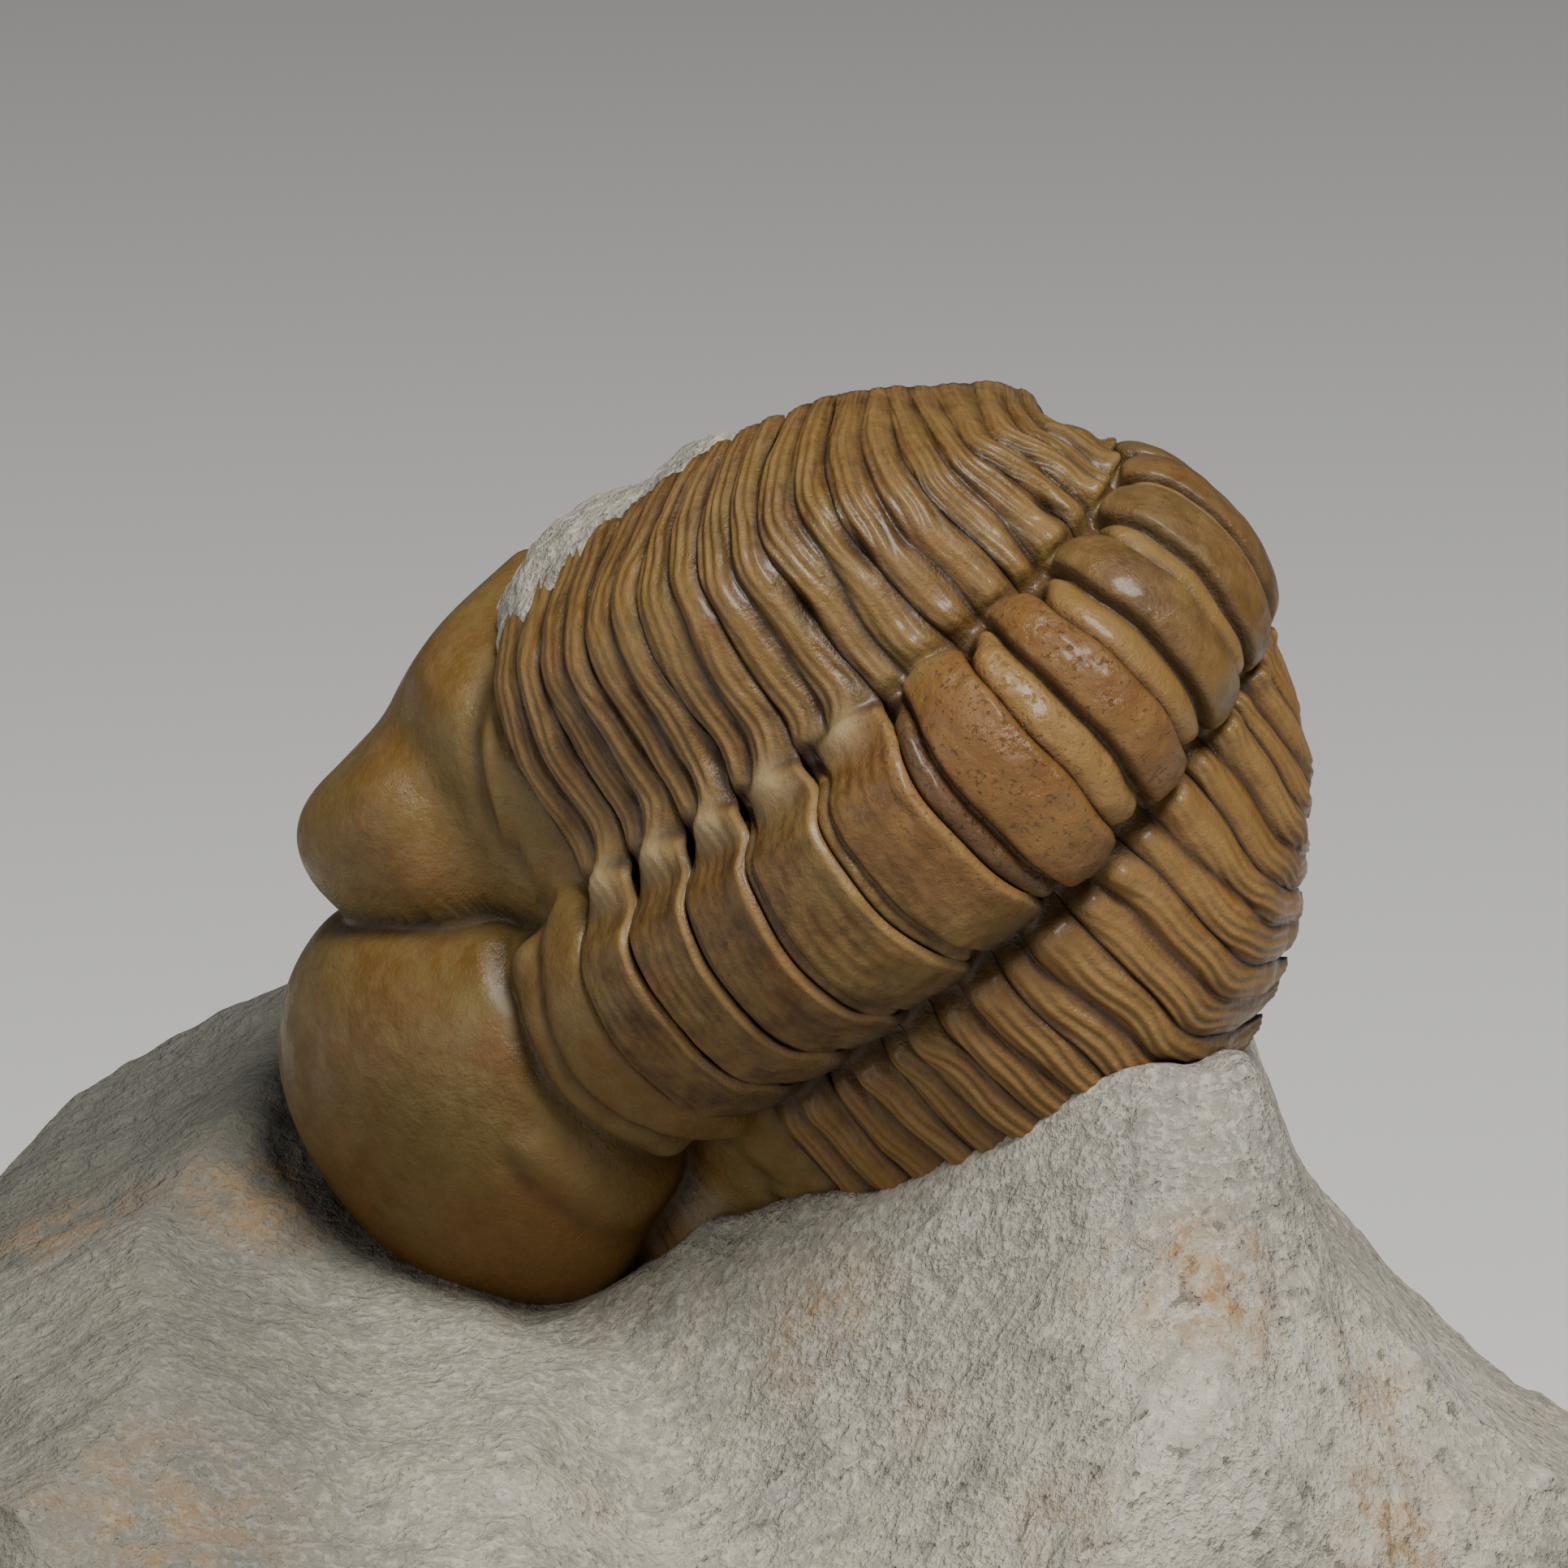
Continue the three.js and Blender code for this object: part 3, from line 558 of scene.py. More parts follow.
def make_segment(k):
    v, q = np.meshgrid(np.linspace(0, 1, ALONG + 1), stations(ACROSS), indexing="ij")
    base = on_joint(k, q, 0) * (1 - v[..., None]) + on_joint(k + 1, q, 0) * v[..., None]
    height, hollow_shade, ridge, knob = segment_relief(k, q, v)
    height = height + uneven_height(k, q, base) * (1 - smooth(0.93, 1, v)) * smooth(0, 0.07, v)
    spread = SPREAD_RIGHT * smooth(5, 7, k) * (1 - smooth(8.3, 9.3, k))
    pinch = np.where(q > 0, PINCH_RIGHT - spread, PINCH_LEFT) * smooth(0.86, 1, np.abs(q)) ** 2
    along = v + (0.5 - v) * pinch - OVERLAP * (1 - v)
    front, back = on_joint(k, q, height), on_joint(k + 1, q, height)
    places = to_metres(front + (back - front) * along[..., None])
    values = {"hollow_shade": hollow_shade, "ridge": ridge, "axial": 1 - smooth(0.33, 0.39, np.abs(q)),
              "region": k / SEGMENTS + v / SEGMENTS, "across": q, "knob": knob}
    piece = shaped_grid(f"segment_{k + 1:02d}", ALONG, ACROSS, places, values)
    tips = smooth(0.74, 0.95, np.where(q > 0, q, 0)) * smooth(6.5, 8, k)
    thicken(piece, SHELL * (1 - 0.68 * smooth(7.5, 9.5, k)), 1 - 0.85 * tips)
    outward(piece)
    return piece


segments = [make_segment(k) for k in range(SEGMENTS)]
for k, piece in enumerate(segments):
    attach(piece, "root")
    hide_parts(f"thoracic_segment_{k + 1:02d}")
print("segments:", len(segments), "with", sum(len(p.data.polygons) for p in segments), "faces")

# %% [markdown]
# The tail shield is a few segments fused into one, with low rings and ribs. It carries on from the
# last joint, curls under and narrows to a rounded end. A copy of a segment couldn't be bent that
# far, so it is a grid of its own, whose rows ride on a curved line of small frames.

# %% Shape the tail shield
TAIL_LENGTH, TAIL_CURL, TAIL_RINGS = 5.6, math.radians(42), 7
TAIL_ROWS, TAIL_COLUMNS = 90, 160
TAIL_SHELL = 0.5 * SHELL
TAIL_RIB, TAIL_FURROW = 0.09, 0.12
TAIL_KEPT, TAIL_SWEEP = 0.35, 0.55


def tail_frames(count):
    """Places and turns along the tail's curved middle line."""
    spot, turn = joints[-1]
    frames = [(spot, turn)]
    for _ in range(count):
        spot = spot + turn @ [TAIL_LENGTH / count, 0, 0]
        turn = turn @ turn_y(TAIL_CURL / count)
        frames.append((spot, turn))
    return frames


def tail_sizes(t):
    """The last joint's measures, shrunk towards the rounded end at t = 1."""
    sizes = section_sizes(SEGMENTS)
    narrow = math.sqrt(1 - (0.985 * t) ** 2)
    sizes["axis"] *= 1 - 0.62 * t
    sizes["height"] *= 1 - 0.6 * t
    sizes["inner"] *= narrow
    sizes["outer"] *= narrow
    sizes["tip"] *= 0.35 + 0.65 * narrow
    return sizes


def every_row(line):
    return np.tile(line, (TAIL_ROWS + 1, 1))


def make_tail():
    q = stations(TAIL_COLUMNS)
    s = np.abs(q)
    rows, hollow_shades, ridges = [], [], []
    for i, (spot, turn) in enumerate(tail_frames(TAIL_ROWS)):
        t = i / TAIL_ROWS
        sizes = tail_sizes(t)
        slant = t - 0.35 * np.clip(s - ARCH_END, 0, 1)
        wave = np.cos(2 * math.pi * TAIL_RINGS * slant)
        fade = (1 - smooth(0.78, 0.9, s)) * (1 - smooth(0.75, 0.95, t))
        height = TAIL_RIB * wave * fade - TAIL_FURROW * bump(s, 0.368, 0.03) * (1 - t)
        y, z = lifted(sizes, broken_off(q, TAIL_KEPT), height)
        along = np.clip((s - FULCRUM) / (1 - FULCRUM), 0, 1) ** 2
        sweep = (sizes["sweep"] + np.where(q > 0, sizes["right_sweep"], 0)) * along * (1 - t)
        sweep = sweep * np.where(q > 0, TAIL_SWEEP, 1)
        rows.append(spot + np.stack([sweep, y, z], -1) @ turn.T)
        # Painted shade in the troughs between the tail's rings, and a painted highlight on their
        # crests.
        hollow_shades.append(np.clip(-wave * 0.6, 0, 1) * fade)
        ridges.append(np.clip(wave * 0.5, 0, 1) * fade)
    beyond = np.linspace(0, 0.6, TAIL_ROWS + 1)[:, None]
    values = {"hollow_shade": np.array(hollow_shades), "ridge": np.array(ridges),
              "axial": every_row(1 - smooth(0.33, 0.39, s)),
              "region": 1 + np.tile(beyond, (1, len(q))), "across": every_row(q)}
    piece = shaped_grid("tail_shield", TAIL_ROWS, TAIL_COLUMNS, to_metres(np.array(rows)), values)
    thicken(piece, TAIL_SHELL, 1 - 0.85 * every_row(smooth(0.74, 0.95, q)))
    outward(piece)
    return piece


tail = make_tail()
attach(tail, "root")
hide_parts("pygidium")
print("tail faces:", len(tail.data.polygons))

# %% [markdown]
# The head shield is one rounded body: a bulging glabella in front, two rings behind it, the cheeks
# and the eyes. Metaballs could melt such swellings together, but their sizes are hard to foresee.
# Here each swelling is a formula for how far a point lies outside of it, in mm and below zero
# inside, and melt joins two of them with a soft seam whose reach is one number.

# %% Helpers for swellings
def swelling(p, at, size, power, waist=1.0):
    """How far the points p lie outside a rounded block; a power of 2 makes it an ellipsoid."""
    u = np.abs((p[:, 0] - at[0]) / size[0]) ** power
    v = np.abs((p[:, 1] - at[1]) / (size[1] * waist)) ** power
    w = np.abs((p[:, 2] - at[2]) / size[2]) ** power
    return ((u + v + w) ** (1 / power) - 1) * min(size)


def melt(a, b, reach):
    """The union of two such distances, with the seam rounded off."""
    h = np.maximum(reach - np.abs(a - b), 0) / reach
    return np.minimum(a, b) - h * h * reach / 4


def groove(p, path, width, depth):
    """Depth of a groove along a path of points, at each of the points p."""
    best = np.full(len(p), 1e9)
    flat = np.array([1, 1, 0.35])
    p = p * flat
    for a, b in zip(path[:-1], path[1:]):
        a, b = a * flat, b * flat
        t = np.clip(((p - a) @ (b - a)) / ((b - a) @ (b - a)), 0, 1)
        best = np.minimum(best, np.linalg.norm(p - a - t[:, None] * (b - a), axis=1))
    return depth * np.exp(-((best / width) ** 2))


# %% [markdown]
# A raised border runs along the back edge of each cheek, with a furrow in front of it. Two more
# furrows part the rings behind the glabella, and the left side of the smaller ring is a low
# lobe. Small round nodes end the rings. Bevelled curves could be joined on for all of this, but
# paths of a few points are enough for the formula: they are drawn on the right and mirrored by
# taking each place's distance from the middle. Only the left lobe has paths of its own.

# %% Furrows and ridges of the head
BORDER_RIDGE = [(-0.25, 2.75, 0.3), (-1.2, 3.6, -0.1), (-1.42, 4.6, -0.2), (-1.38, 5.4, -0.27),
                (-0.95, 6.4, -0.42), (-0.55, 7.2, -0.95), (-0.3, 8.0, -1.8), (-0.2, 8.6, -2.8),
                (-0.2, 9.1, -4.4)]
BORDER_FURROW = [(x - 0.42, y + 0.1, z) for x, y, z in BORDER_RIDGE[1:]]
NECK_FURROW = [(-2.1, 3.3, -0.1), (-1.75, 2.9, 0.7), (-1.55, 2.2, 1.5), (-1.75, 1.1, 2.15),
               (-1.9, 0, 2.35)]
SMALL_FURROW = [(-3.3, 3.3, 0.0), (-3.15, 2.6, 1.0), (-2.95, 1.8, 1.7), (-3.0, 0.9, 2.05),
                (-3.1, 0, 2.15)]
FURROWS = [(BORDER_FURROW, 0.24, 0.19), (NECK_FURROW, 0.17, 0.22), (SMALL_FURROW, 0.18, 0.22)]
LEFT_LOBE = [(-4.0, -1.0, 2.4), (-3.9, -2.2, 1.75), (-4.2, -3.4, 0.6)]
LEFT_LOBE_FURROW = [(-4.75, -0.9, 2.65), (-4.85, -2.59, 2.14), (-5.12, -3.99, 0.87)]
NODES = [((-2.35, 2.75, 1.0), 0.5, 0.22), ((-0.95, 3.0, 0.35), 0.5, 0.16)]
REAR_EDGE_DEPTH = 0.20


def head_relief(p):
    """Relief above the melted swellings, and how deep in a furrow a point lies."""
    q = np.column_stack([p[:, 0], np.abs(p[:, 1]), p[:, 2]])
    rear_edge = REAR_EDGE_DEPTH * smooth(-0.4, -0.02, p[:, 0]) * smooth(2.4, 3.2, np.abs(p[:, 1]))
    left_furrow = groove(p, LEFT_LOBE_FURROW, 0.30, 0.10)
    cut = np.maximum.reduce([groove(q, *furrow) for furrow in FURROWS] + [rear_edge, left_furrow])
    rise = groove(q, BORDER_RIDGE, 0.18, 0.20)
    for place, half, height in NODES:
        rise = rise + height * np.exp(-(np.linalg.norm(q - np.array(place), axis=1) / half) ** 2)
    rise = rise + groove(p, LEFT_LOBE, 0.5, 0.16)
    return rise, cut


# %% [markdown]
# Now the swellings themselves. The neck repeats the arch of the first segment, so that the rings
# carry on without a step. The head ends at the hinge, and its cheeks stay a little short of it
# towards their corners, which are rounded.

# %% The head as one formula
GLABELLA = ((-7.1, 0, -0.8), (5.7, 5.45, 3.9), 2.25)
EYE_SIZE, EYE_POWER = (2.45, 2.35, 2.3), 3
EYES = [(-5.5, 5.65, -1.55), (-5.5, -5.65, -1.55)]
CHEEK_LENGTH, CHEEK_HALF, CHEEK_HEIGHT, CHEEK_LEVEL = 11.2, 9.6, 5.3, -5.4
NECK_HALF, NECK_HEIGHT = section_sizes(0)["axis"], section_sizes(0)["height"]
NECK_RING, SMALL_RING = (0.14, 0.95, 0.95), (0.05, 2.4, 0.5)
NECK_FRONT = 2.9


def above_glabella(p):
    waist = 1 - 0.22 * smooth(-7.5, -3, p[:, 0])
    return swelling(p, *GLABELLA, waist)


def above_cheeks(p):
    plan = (p[:, 0] / CHEEK_LENGTH) ** 2 + (p[:, 1] / CHEEK_HALF) ** 2
    return ((plan ** 2 + ((p[:, 2] - CHEEK_LEVEL) / CHEEK_HEIGHT) ** 4) ** 0.25 - 1) * CHEEK_HEIGHT


def ring_height(x, height, before, half):
    """A half-round ring, its middle at a distance before the hinge."""
    return height * np.sqrt(np.clip(1 - ((x + before) / half) ** 2, 0, 1))


def above_neck(p):
    up = np.maximum(p[:, 2], -0.5)
    arch = (np.hypot(p[:, 1] / NECK_HALF, up / NECK_HEIGHT) - 1) * NECK_HEIGHT
    arch = arch - ring_height(p[:, 0], *NECK_RING) - ring_height(p[:, 0], *SMALL_RING) + 0.1
    return np.maximum.reduce([arch, -NECK_FRONT - p[:, 0], p[:, 0] - 1])


def above_head(p):
    """How far the points p lie outside the head, and how near the glabella's crease."""
    glabella, neck = above_glabella(p), above_neck(p)
    eyes = np.minimum(*[swelling(p, at, EYE_SIZE, EYE_POWER) for at in EYES])
    rise, cut = head_relief(p)
    sides = melt(above_cheeks(p), eyes, 0.5)
    crease = bump(glabella - np.minimum(sides, neck), 0, 0.34) * smooth(-4.6, -3.0, p[:, 2])
    whole = melt(melt(glabella, sides, 0.15), neck, 0.3) - rise + cut + 0.16 * crease
    limit = p[:, 0] + 1.3 * smooth(6.6, 9.6, np.abs(p[:, 1]))
    rounding = 0.02 + 1.6 * smooth(5.0, 7.5, np.abs(p[:, 1]))
    return -melt(-whole, -limit, rounding), crease


# %% [markdown]
# A ball is blown up inside these formulas until every corner meets the skin: the place where its
# ray leaves the head is found by halving. That gives an even mesh, where a remesh would blur
# the furrows. A few smoothing steps follow, and two bisect cuts make the head flat at the hinge and
# underneath. Like the segments, it stores numbers for its material.

# %% Blow the head up
HEAD_CENTRE = np.array([-4.9, 0, -1.8])
HEAD_FLOOR = -6.1
SHORTEST_RAY, LONGEST_RAY, HALVINGS = 1.0, 16.0, 22


def add_ball(subdivisions):
    """A ball of radius 1, and the places of its corners."""
    bpy.ops.object.select_all(action="DESELECT")
    bpy.ops.mesh.primitive_ico_sphere_add(subdivisions=subdivisions, radius=1)
    piece = bpy.context.object
    corners = np.empty(len(piece.data.vertices) * 3, np.float32)
    piece.data.vertices.foreach_get("co", corners)
    return piece, corners.reshape(-1, 3)


def skin_on(rays):
    """Where each ray from the head's centre leaves the head."""
    near, far = np.full(len(rays), SHORTEST_RAY), np.full(len(rays), LONGEST_RAY)
    for _ in range(HALVINGS):
        middle = (near + far) / 2
        outside = above_head(HEAD_CENTRE + rays * middle[:, None])[0] > 0
        far = np.where(outside, middle, far)
        near = np.where(outside, near, middle)
    return HEAD_CENTRE + rays * near[:, None]


def head_values(skin):
    """The numbers for the material; amber is the left side of the glabella."""
    rise, cut = head_relief(skin)
    glabella = 1 - smooth(0.0, 0.5, above_glabella(skin))
    crease = above_head(skin)[1] ** 0.6
    # Painted shade in the furrows and the crease; the ridge value below is a painted highlight on
    # the raised border, the nodes and the left lobe.
    hollow_shade = np.maximum(np.clip(cut / 0.26, 0, 1) ** 1.5, 0.9 * crease ** 2)
    amber = smooth(1.5, -4.5, skin[:, 1] + 0.25 * (skin[:, 0] + 7)) * glabella
    zero = np.zeros(len(skin))
    return {"hollow_shade": hollow_shade, "ridge": np.clip(rise / 0.2, 0, 1), "axial": glabella, "region": zero,
            "across": zero, "amber": amber}


def cut_flat(point, normal):
    """Cuts off what lies past a plane in the animal's own frame, and closes the cut."""
    bpy.ops.mesh.select_all(action="SELECT")
    bpy.ops.mesh.bisect(plane_co=to_metres(np.array(point)), plane_no=ANIMAL @ normal,
                        use_fill=True, clear_outer=True)


def make_head():
    piece, rays = add_ball(7)
    piece.name = piece.data.name = "head_shield"
    rays = rays.astype(float)
    rays /= np.linalg.norm(rays, axis=1)[:, None]
    skin = skin_on(rays)
    add_values(piece.data, **head_values(skin))
    place_corners(piece.data, to_metres(skin))
    apply(piece, "SMOOTH", factor=0.5, iterations=5)
    select_only(piece)
    bpy.ops.object.mode_set(mode="EDIT")
    cut_flat((0.0, 0, 0), (1, 0, 0))
    cut_flat((0, 0, HEAD_FLOOR), (0, 0, -1))
    bpy.ops.object.mode_set(mode="OBJECT")
    outward(piece)
    return piece


head = make_head()
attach(head, "root")
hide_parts("cephalon")
print("head faces:", len(head.data.polygons))

# %% [markdown]
# Materials are built from shader nodes. Adding and linking them by hand takes many lines, so this
# small class does it: a noise, a soft step between two of its values, a sum or product, and a
# coat of paint laid over a colour where a mask says so. All noise reads Object coordinates.

# %% Helper for shader nodes
class Tree:
    def __init__(self, name):
        self.material = bpy.data.materials.new(name)
        self.material.use_nodes = True
        self.nodes = self.material.node_tree.nodes
        self.links = self.material.node_tree.links
        self.shader = self.nodes["Principled BSDF"]
        self.coords = self.nodes.new("ShaderNodeTexCoord").outputs["Object"]

    def feed(self, socket, value):
        """Links a value that is another node's output, and sets it otherwise."""
        if isinstance(value, (int, float)):
            socket.default_value = value
        elif isinstance(value, tuple):
            socket.default_value = (*value, 1)
        else:
            self.links.new(value, socket)

    def attribute(self, name):
        node = self.nodes.new("ShaderNodeAttribute")
        node.attribute_name = name
        return node.outputs["Fac"]

    def math(self, kind, a, b):
        node = self.nodes.new("ShaderNodeMath")
        node.operation = kind
        self.feed(node.inputs[0], a)
        self.feed(node.inputs[1], b)
        return node.outputs["Value"]

    def mix(self, factor, a, b):
        node = self.nodes.new("ShaderNodeMix")
        node.data_type = "RGBA"
        for key, value in (("Factor", factor), ("A", a), ("B", b)):
            self.feed(node.inputs[key], value)
        return node.outputs["Result"]

    def paint(self, color, where, strength, coat):
        """Lays a coat over a colour where a mask is above 0, at this strength at most."""
        return self.mix(self.math("MULTIPLY", where, strength), color, coat)

    def noise(self, scale, detail, roughness):
        node = self.nodes.new("ShaderNodeTexNoise")
        node.inputs["Scale"].default_value = scale
        node.inputs["Detail"].default_value = detail
        node.inputs["Roughness"].default_value = roughness
        self.links.new(self.coords, node.inputs["Vector"])
        return node.outputs["Fac"]

    def noise_of(self, first, first_scale, second, second_scale):
        """Noise over two numbers stored with the mesh, drawn out along the first."""
        join = self.nodes.new("ShaderNodeCombineXYZ")
        self.links.new(self.math("MULTIPLY", first, first_scale), join.inputs["X"])
        self.links.new(self.math("MULTIPLY", second, second_scale), join.inputs["Y"])
        node = self.nodes.new("ShaderNodeTexNoise")
        node.inputs["Scale"].default_value = 1.0
        node.inputs["Detail"].default_value = 3
        self.links.new(join.outputs["Vector"], node.inputs["Vector"])
        return node.outputs["Fac"]

    def ramp(self, value, low, high):
        """A soft step, 0 at low and 1 at high."""
        node = self.nodes.new("ShaderNodeMapRange")
        node.interpolation_type = "SMOOTHSTEP"
        node.inputs["From Min"].default_value = low
        node.inputs["From Max"].default_value = high
        self.links.new(value, node.inputs["Value"])
        return node.outputs["Result"]

    def spots(self, scale, detail, roughness, low, high):
        """Noise with its middle values drawn apart into spots."""
        return self.ramp(self.noise(scale, detail, roughness), low, high)

    def bump(self, height, strength, distance, onto=None):
        node = self.nodes.new("ShaderNodeBump")
        node.inputs["Strength"].default_value = strength
        node.inputs["Distance"].default_value = distance
        self.links.new(height, node.inputs["Height"])
        if onto is not None:
            self.links.new(onto, node.inputs["Normal"])
        return node.outputs["Normal"]


# %% [markdown]
# The fossil is calcite stained by iron: tan to orange brown and half glossy. Its hollows are
# darkened with painted shade, the left pleurae are lightened with painted light, its crests, rims
# and knobs are paler with a painted highlight, and the rear half rings are pale of their own. The
# colours could be painted on, but then they would need an image. Here spots of several sizes are
# laid over each other, and the numbers stored with the corners say where the amber side of the
# glabella, the warm rings, the streaks, the painted shade and the painted highlights are.

# %% Fossil finish
OLIVE, RUST = (0.135, 0.098, 0.028), (0.135, 0.048, 0.010)
AMBER_SIDE, WARM_RING = (0.155, 0.066, 0.008), (0.180, 0.080, 0.019)
# On the next line: a lighter tan that is painted light on the left pleurae, and a painted highlight
# for the knobs.
LEFT_SIDE_LIGHT, KNOB_HIGHLIGHT = (0.185, 0.088, 0.022), (0.30, 0.225, 0.115)


def fossil_color(tree, tan, brown, pale, dark):
    """The colour, and the pits that the bump also needs."""
    region, across, axial = [tree.attribute(key) for key in ("region", "across", "axial")]
    color = tree.mix(tree.spots(330, 4, 0.6, 0.38, 0.62), tan, brown)
    color = tree.paint(color, tree.spots(430, 3, 0.55, 0.47, 0.62), 0.40, OLIVE)
    color = tree.paint(color, tree.spots(610, 3, 0.55, 0.54, 0.68), 0.45, RUST)
    color = tree.paint(color, tree.spots(1700, 5, 0.65, 0.35, 0.65), 0.32, pale)
    color = tree.paint(color, tree.spots(3300, 4, 0.7, 0.52, 0.66), 0.45, brown)
    streak = tree.ramp(tree.noise_of(across, 9.0, region, 260.0), 0.42, 0.68)
    on_pleura = tree.math("SUBTRACT", 1, axial)
    color = tree.paint(color, tree.math("MULTIPLY", streak, on_pleura), 0.35, pale)
    color = tree.paint(color, tree.attribute("amber"), 0.75, AMBER_SIDE)
    # Painted light: the left pleurae get a lighter copy of the tan, as if lit.
    color = tree.paint(color, tree.ramp(across, -0.36, -0.44), 0.45, LEFT_SIDE_LIGHT)
    warm = tree.math("MULTIPLY", tree.ramp(region, 0.38, 0.47), tree.ramp(region, 0.68, 0.62))
    warm = tree.math("MULTIPLY", warm, axial)
    color = tree.paint(color, warm, 0.58, WARM_RING)
    rear_axis = tree.math("MULTIPLY", tree.ramp(region, 0.60, 0.72), axial)
    color = tree.paint(color, rear_axis, 0.16, pale)
    most_on_warm = tree.math("MAXIMUM", warm, 0.18)
    pits = tree.math("MULTIPLY", tree.spots(6800, 4, 0.6, 0.56, 0.70), most_on_warm)
    color = tree.paint(color, pits, 0.40, dark)
    # Painted highlight on crests, rims and knobs, along with the rear half rings' own pale, then
    # painted shade in every furrow and joint.
    color = tree.paint(color, tree.attribute("ridge"), 0.65, pale)
    color = tree.paint(color, tree.attribute("knob"), 0.7, KNOB_HIGHLIGHT)
    color = tree.paint(color, tree.attribute("hollow_shade"), 0.85, dark)
    return color, pits


def fossil_material(name, tan, brown, pale, dark, polish):
    """polish is the roughness of the thin coat: the lower, the glossier."""
    tree = Tree(name)
    color, pits = fossil_color(tree, tan, brown, pale, dark)
    tree.links.new(color, tree.shader.inputs["Base Color"])
    tree.shader.inputs["Specular IOR Level"].default_value = 0.3
    tree.shader.inputs["Coat Weight"].default_value = 0.12
    tree.shader.inputs["Coat Roughness"].default_value = polish
    rough = tree.math("ADD", tree.math("MULTIPLY", tree.spots(900, 3, 0.6, 0.40, 0.60), 0.30), 0.32)
    tree.links.new(rough, tree.shader.inputs["Roughness"])
    normal = tree.bump(tree.noise(1300, 6, 0.68), 0.8, 0.16 * MM)
    normal = tree.bump(tree.math("SUBTRACT", 1, pits), 0.6, 0.06 * MM, normal)
    tree.links.new(normal, tree.shader.inputs["Normal"])
    return tree.material


# %% [markdown]
# Body and head share the finish, with colours of their own: the body is darker and has paler
# painted highlights on its ridges, the head is more even in colour and duller.

# %% Give the shell its finish
# In both, dark is painted shade in the hollows and also the colour of the small pits, and pale is
# partly a painted highlight on the ridges and partly the shell's own pale spots and streaks.
BODY_COLORS = {"tan": (0.092, 0.045, 0.009), "brown": (0.046, 0.019, 0.004),
               "pale": (0.225, 0.130, 0.039), "dark": (0.011, 0.005, 0.005)}
HEAD_COLORS = {"tan": (0.112, 0.070, 0.015), "brown": (0.105, 0.050, 0.008),
               "pale": (0.185, 0.120, 0.042), "dark": (0.011, 0.006, 0.003)}

body_material = fossil_material("fossil_body", **BODY_COLORS, polish=0.16)
head_material = fossil_material("fossil_head", **HEAD_COLORS, polish=0.30)
for piece in [*segments, tail]:
    piece.data.materials.append(body_material)
head.data.materials.append(head_material)
print("nodes in the body's finish:", len(body_material.node_tree.nodes))

# %% [markdown]
# The limestone is one broken lump. Its top falls from a crest on the right towards the viewer, dips
# into a trough under the head and rises again behind it. A Displace modifier would need these
# heights as an image, so they are worked out instead, from profiles through a few points whose
# corners are rounded off. x and y are counted in mm from the hinge, as are the heights.

# %% Heights of the stone's top
BASE_LEVEL = -HINGE[2]
CREST = [[-3, -6.6], [0, -5.7], [4.3, -4], [7.2, -2.3], [9.5, -0.5], [12.3, -0.4], [14, -4.8],
         [17, -8.1], [20, -11]]
CREST_LINE = [[0, 2.5], [9.5, -5], [14, -4.5]]
BACK_RISE = [[-16, -6.9], [-9, -3.9], [-4, -3.2]]
TROUGH_LEVEL = -8.0
LOWEST_TOP = 1.2


def profile(pairs, x, soft=0.0):
    """The value at x of a line through [place, value] pairs, with its corners rounded off."""
    places, values = zip(*pairs)
    return np.mean([np.interp(x + soft * d, places, values) for d in np.linspace(-1, 1, 9)], axis=0)


def ramp_up(x, soft):
    """Zero for a negative x and x for a positive one, with a soft bend between."""
    return (x + np.sqrt(x * x + soft * soft)) / 2


def stone_top(x, y):
    """Height of the top: a ridge on the right, a trough and a rise on the left, melted together."""
    before = profile(CREST_LINE, x, 1.5) - y
    soft = np.where(x > 12.5, 1.3, 0.8) * smooth(0, 2.5, before) + 0.25
    ridge = profile(CREST, x, soft) - np.where(before > 0, 1.0, -0.12) * before
    trough = TROUGH_LEVEL + 0.55 * ramp_up(y - 4.5, 2) - 0.75 * ramp_up(-5 - y, 3)
    rise = profile(BACK_RISE, x) + 0.16 * (y - 11)
    left = np.minimum(rise, trough + 0.3 * np.maximum(-7 - x, 0))
    share = smooth(-3.5, 1 + 6 * smooth(5, 13, y), x)
    low = -BASE_LEVEL - LOWEST_TOP
    return -melt(-left * (1 - share) - ridge * share, np.full(np.shape(x), low), 3)


print("crest in mm above the table:", (stone_top(np.array([11.0]), -4.8) - BASE_LEVEL).round(2))

# %% [markdown]
# A grid gets these heights and an uneven oval outline. TOP_PART of it, counted from its middle,
# becomes the top, and the rest the broken sides, which run down to a flat underside, as if sawn
# off. A subdivided cube would do too, but here every corner knows which part it belongs to. Noise of
# three sizes roughens the surface, the finer two stretched along the rock's layers, its bedding.

# %% Corners of the stone
STONE_CENTRE = np.array([1.0, 1.0])
STONE_HALF = (20.0, 15.46)
STONE_CELLS = (330, 260)
TOP_PART, TOP_REACH, SIDE_REACH = 0.9, 0.95, 0.045
BEDDING = np.array([[0.35, 0, 0.30], [0, 0.7, 0], [-0.85, 0, 0.95]])


def stone_reach(angle):
    """How far the stone's outline lies from its centre in a direction."""
    uneven = 1 + 0.05 * np.sin(3 * angle + 0.6) + 0.035 * np.sin(5 * angle + 2.1)
    return uneven / np.hypot(np.cos(angle) / STONE_HALF[0], np.sin(angle) / STONE_HALF[1])


def stone_roughness(spots):
    layered = spots @ BEDDING.T
    rough = 0.32 * fractal(spots, 4.0, 3, 3.1) + 0.08 * fractal(layered, 0.9, 3, 9.7)
    return rough + 0.035 * fractal(layered, 0.3, 2, 6.1)


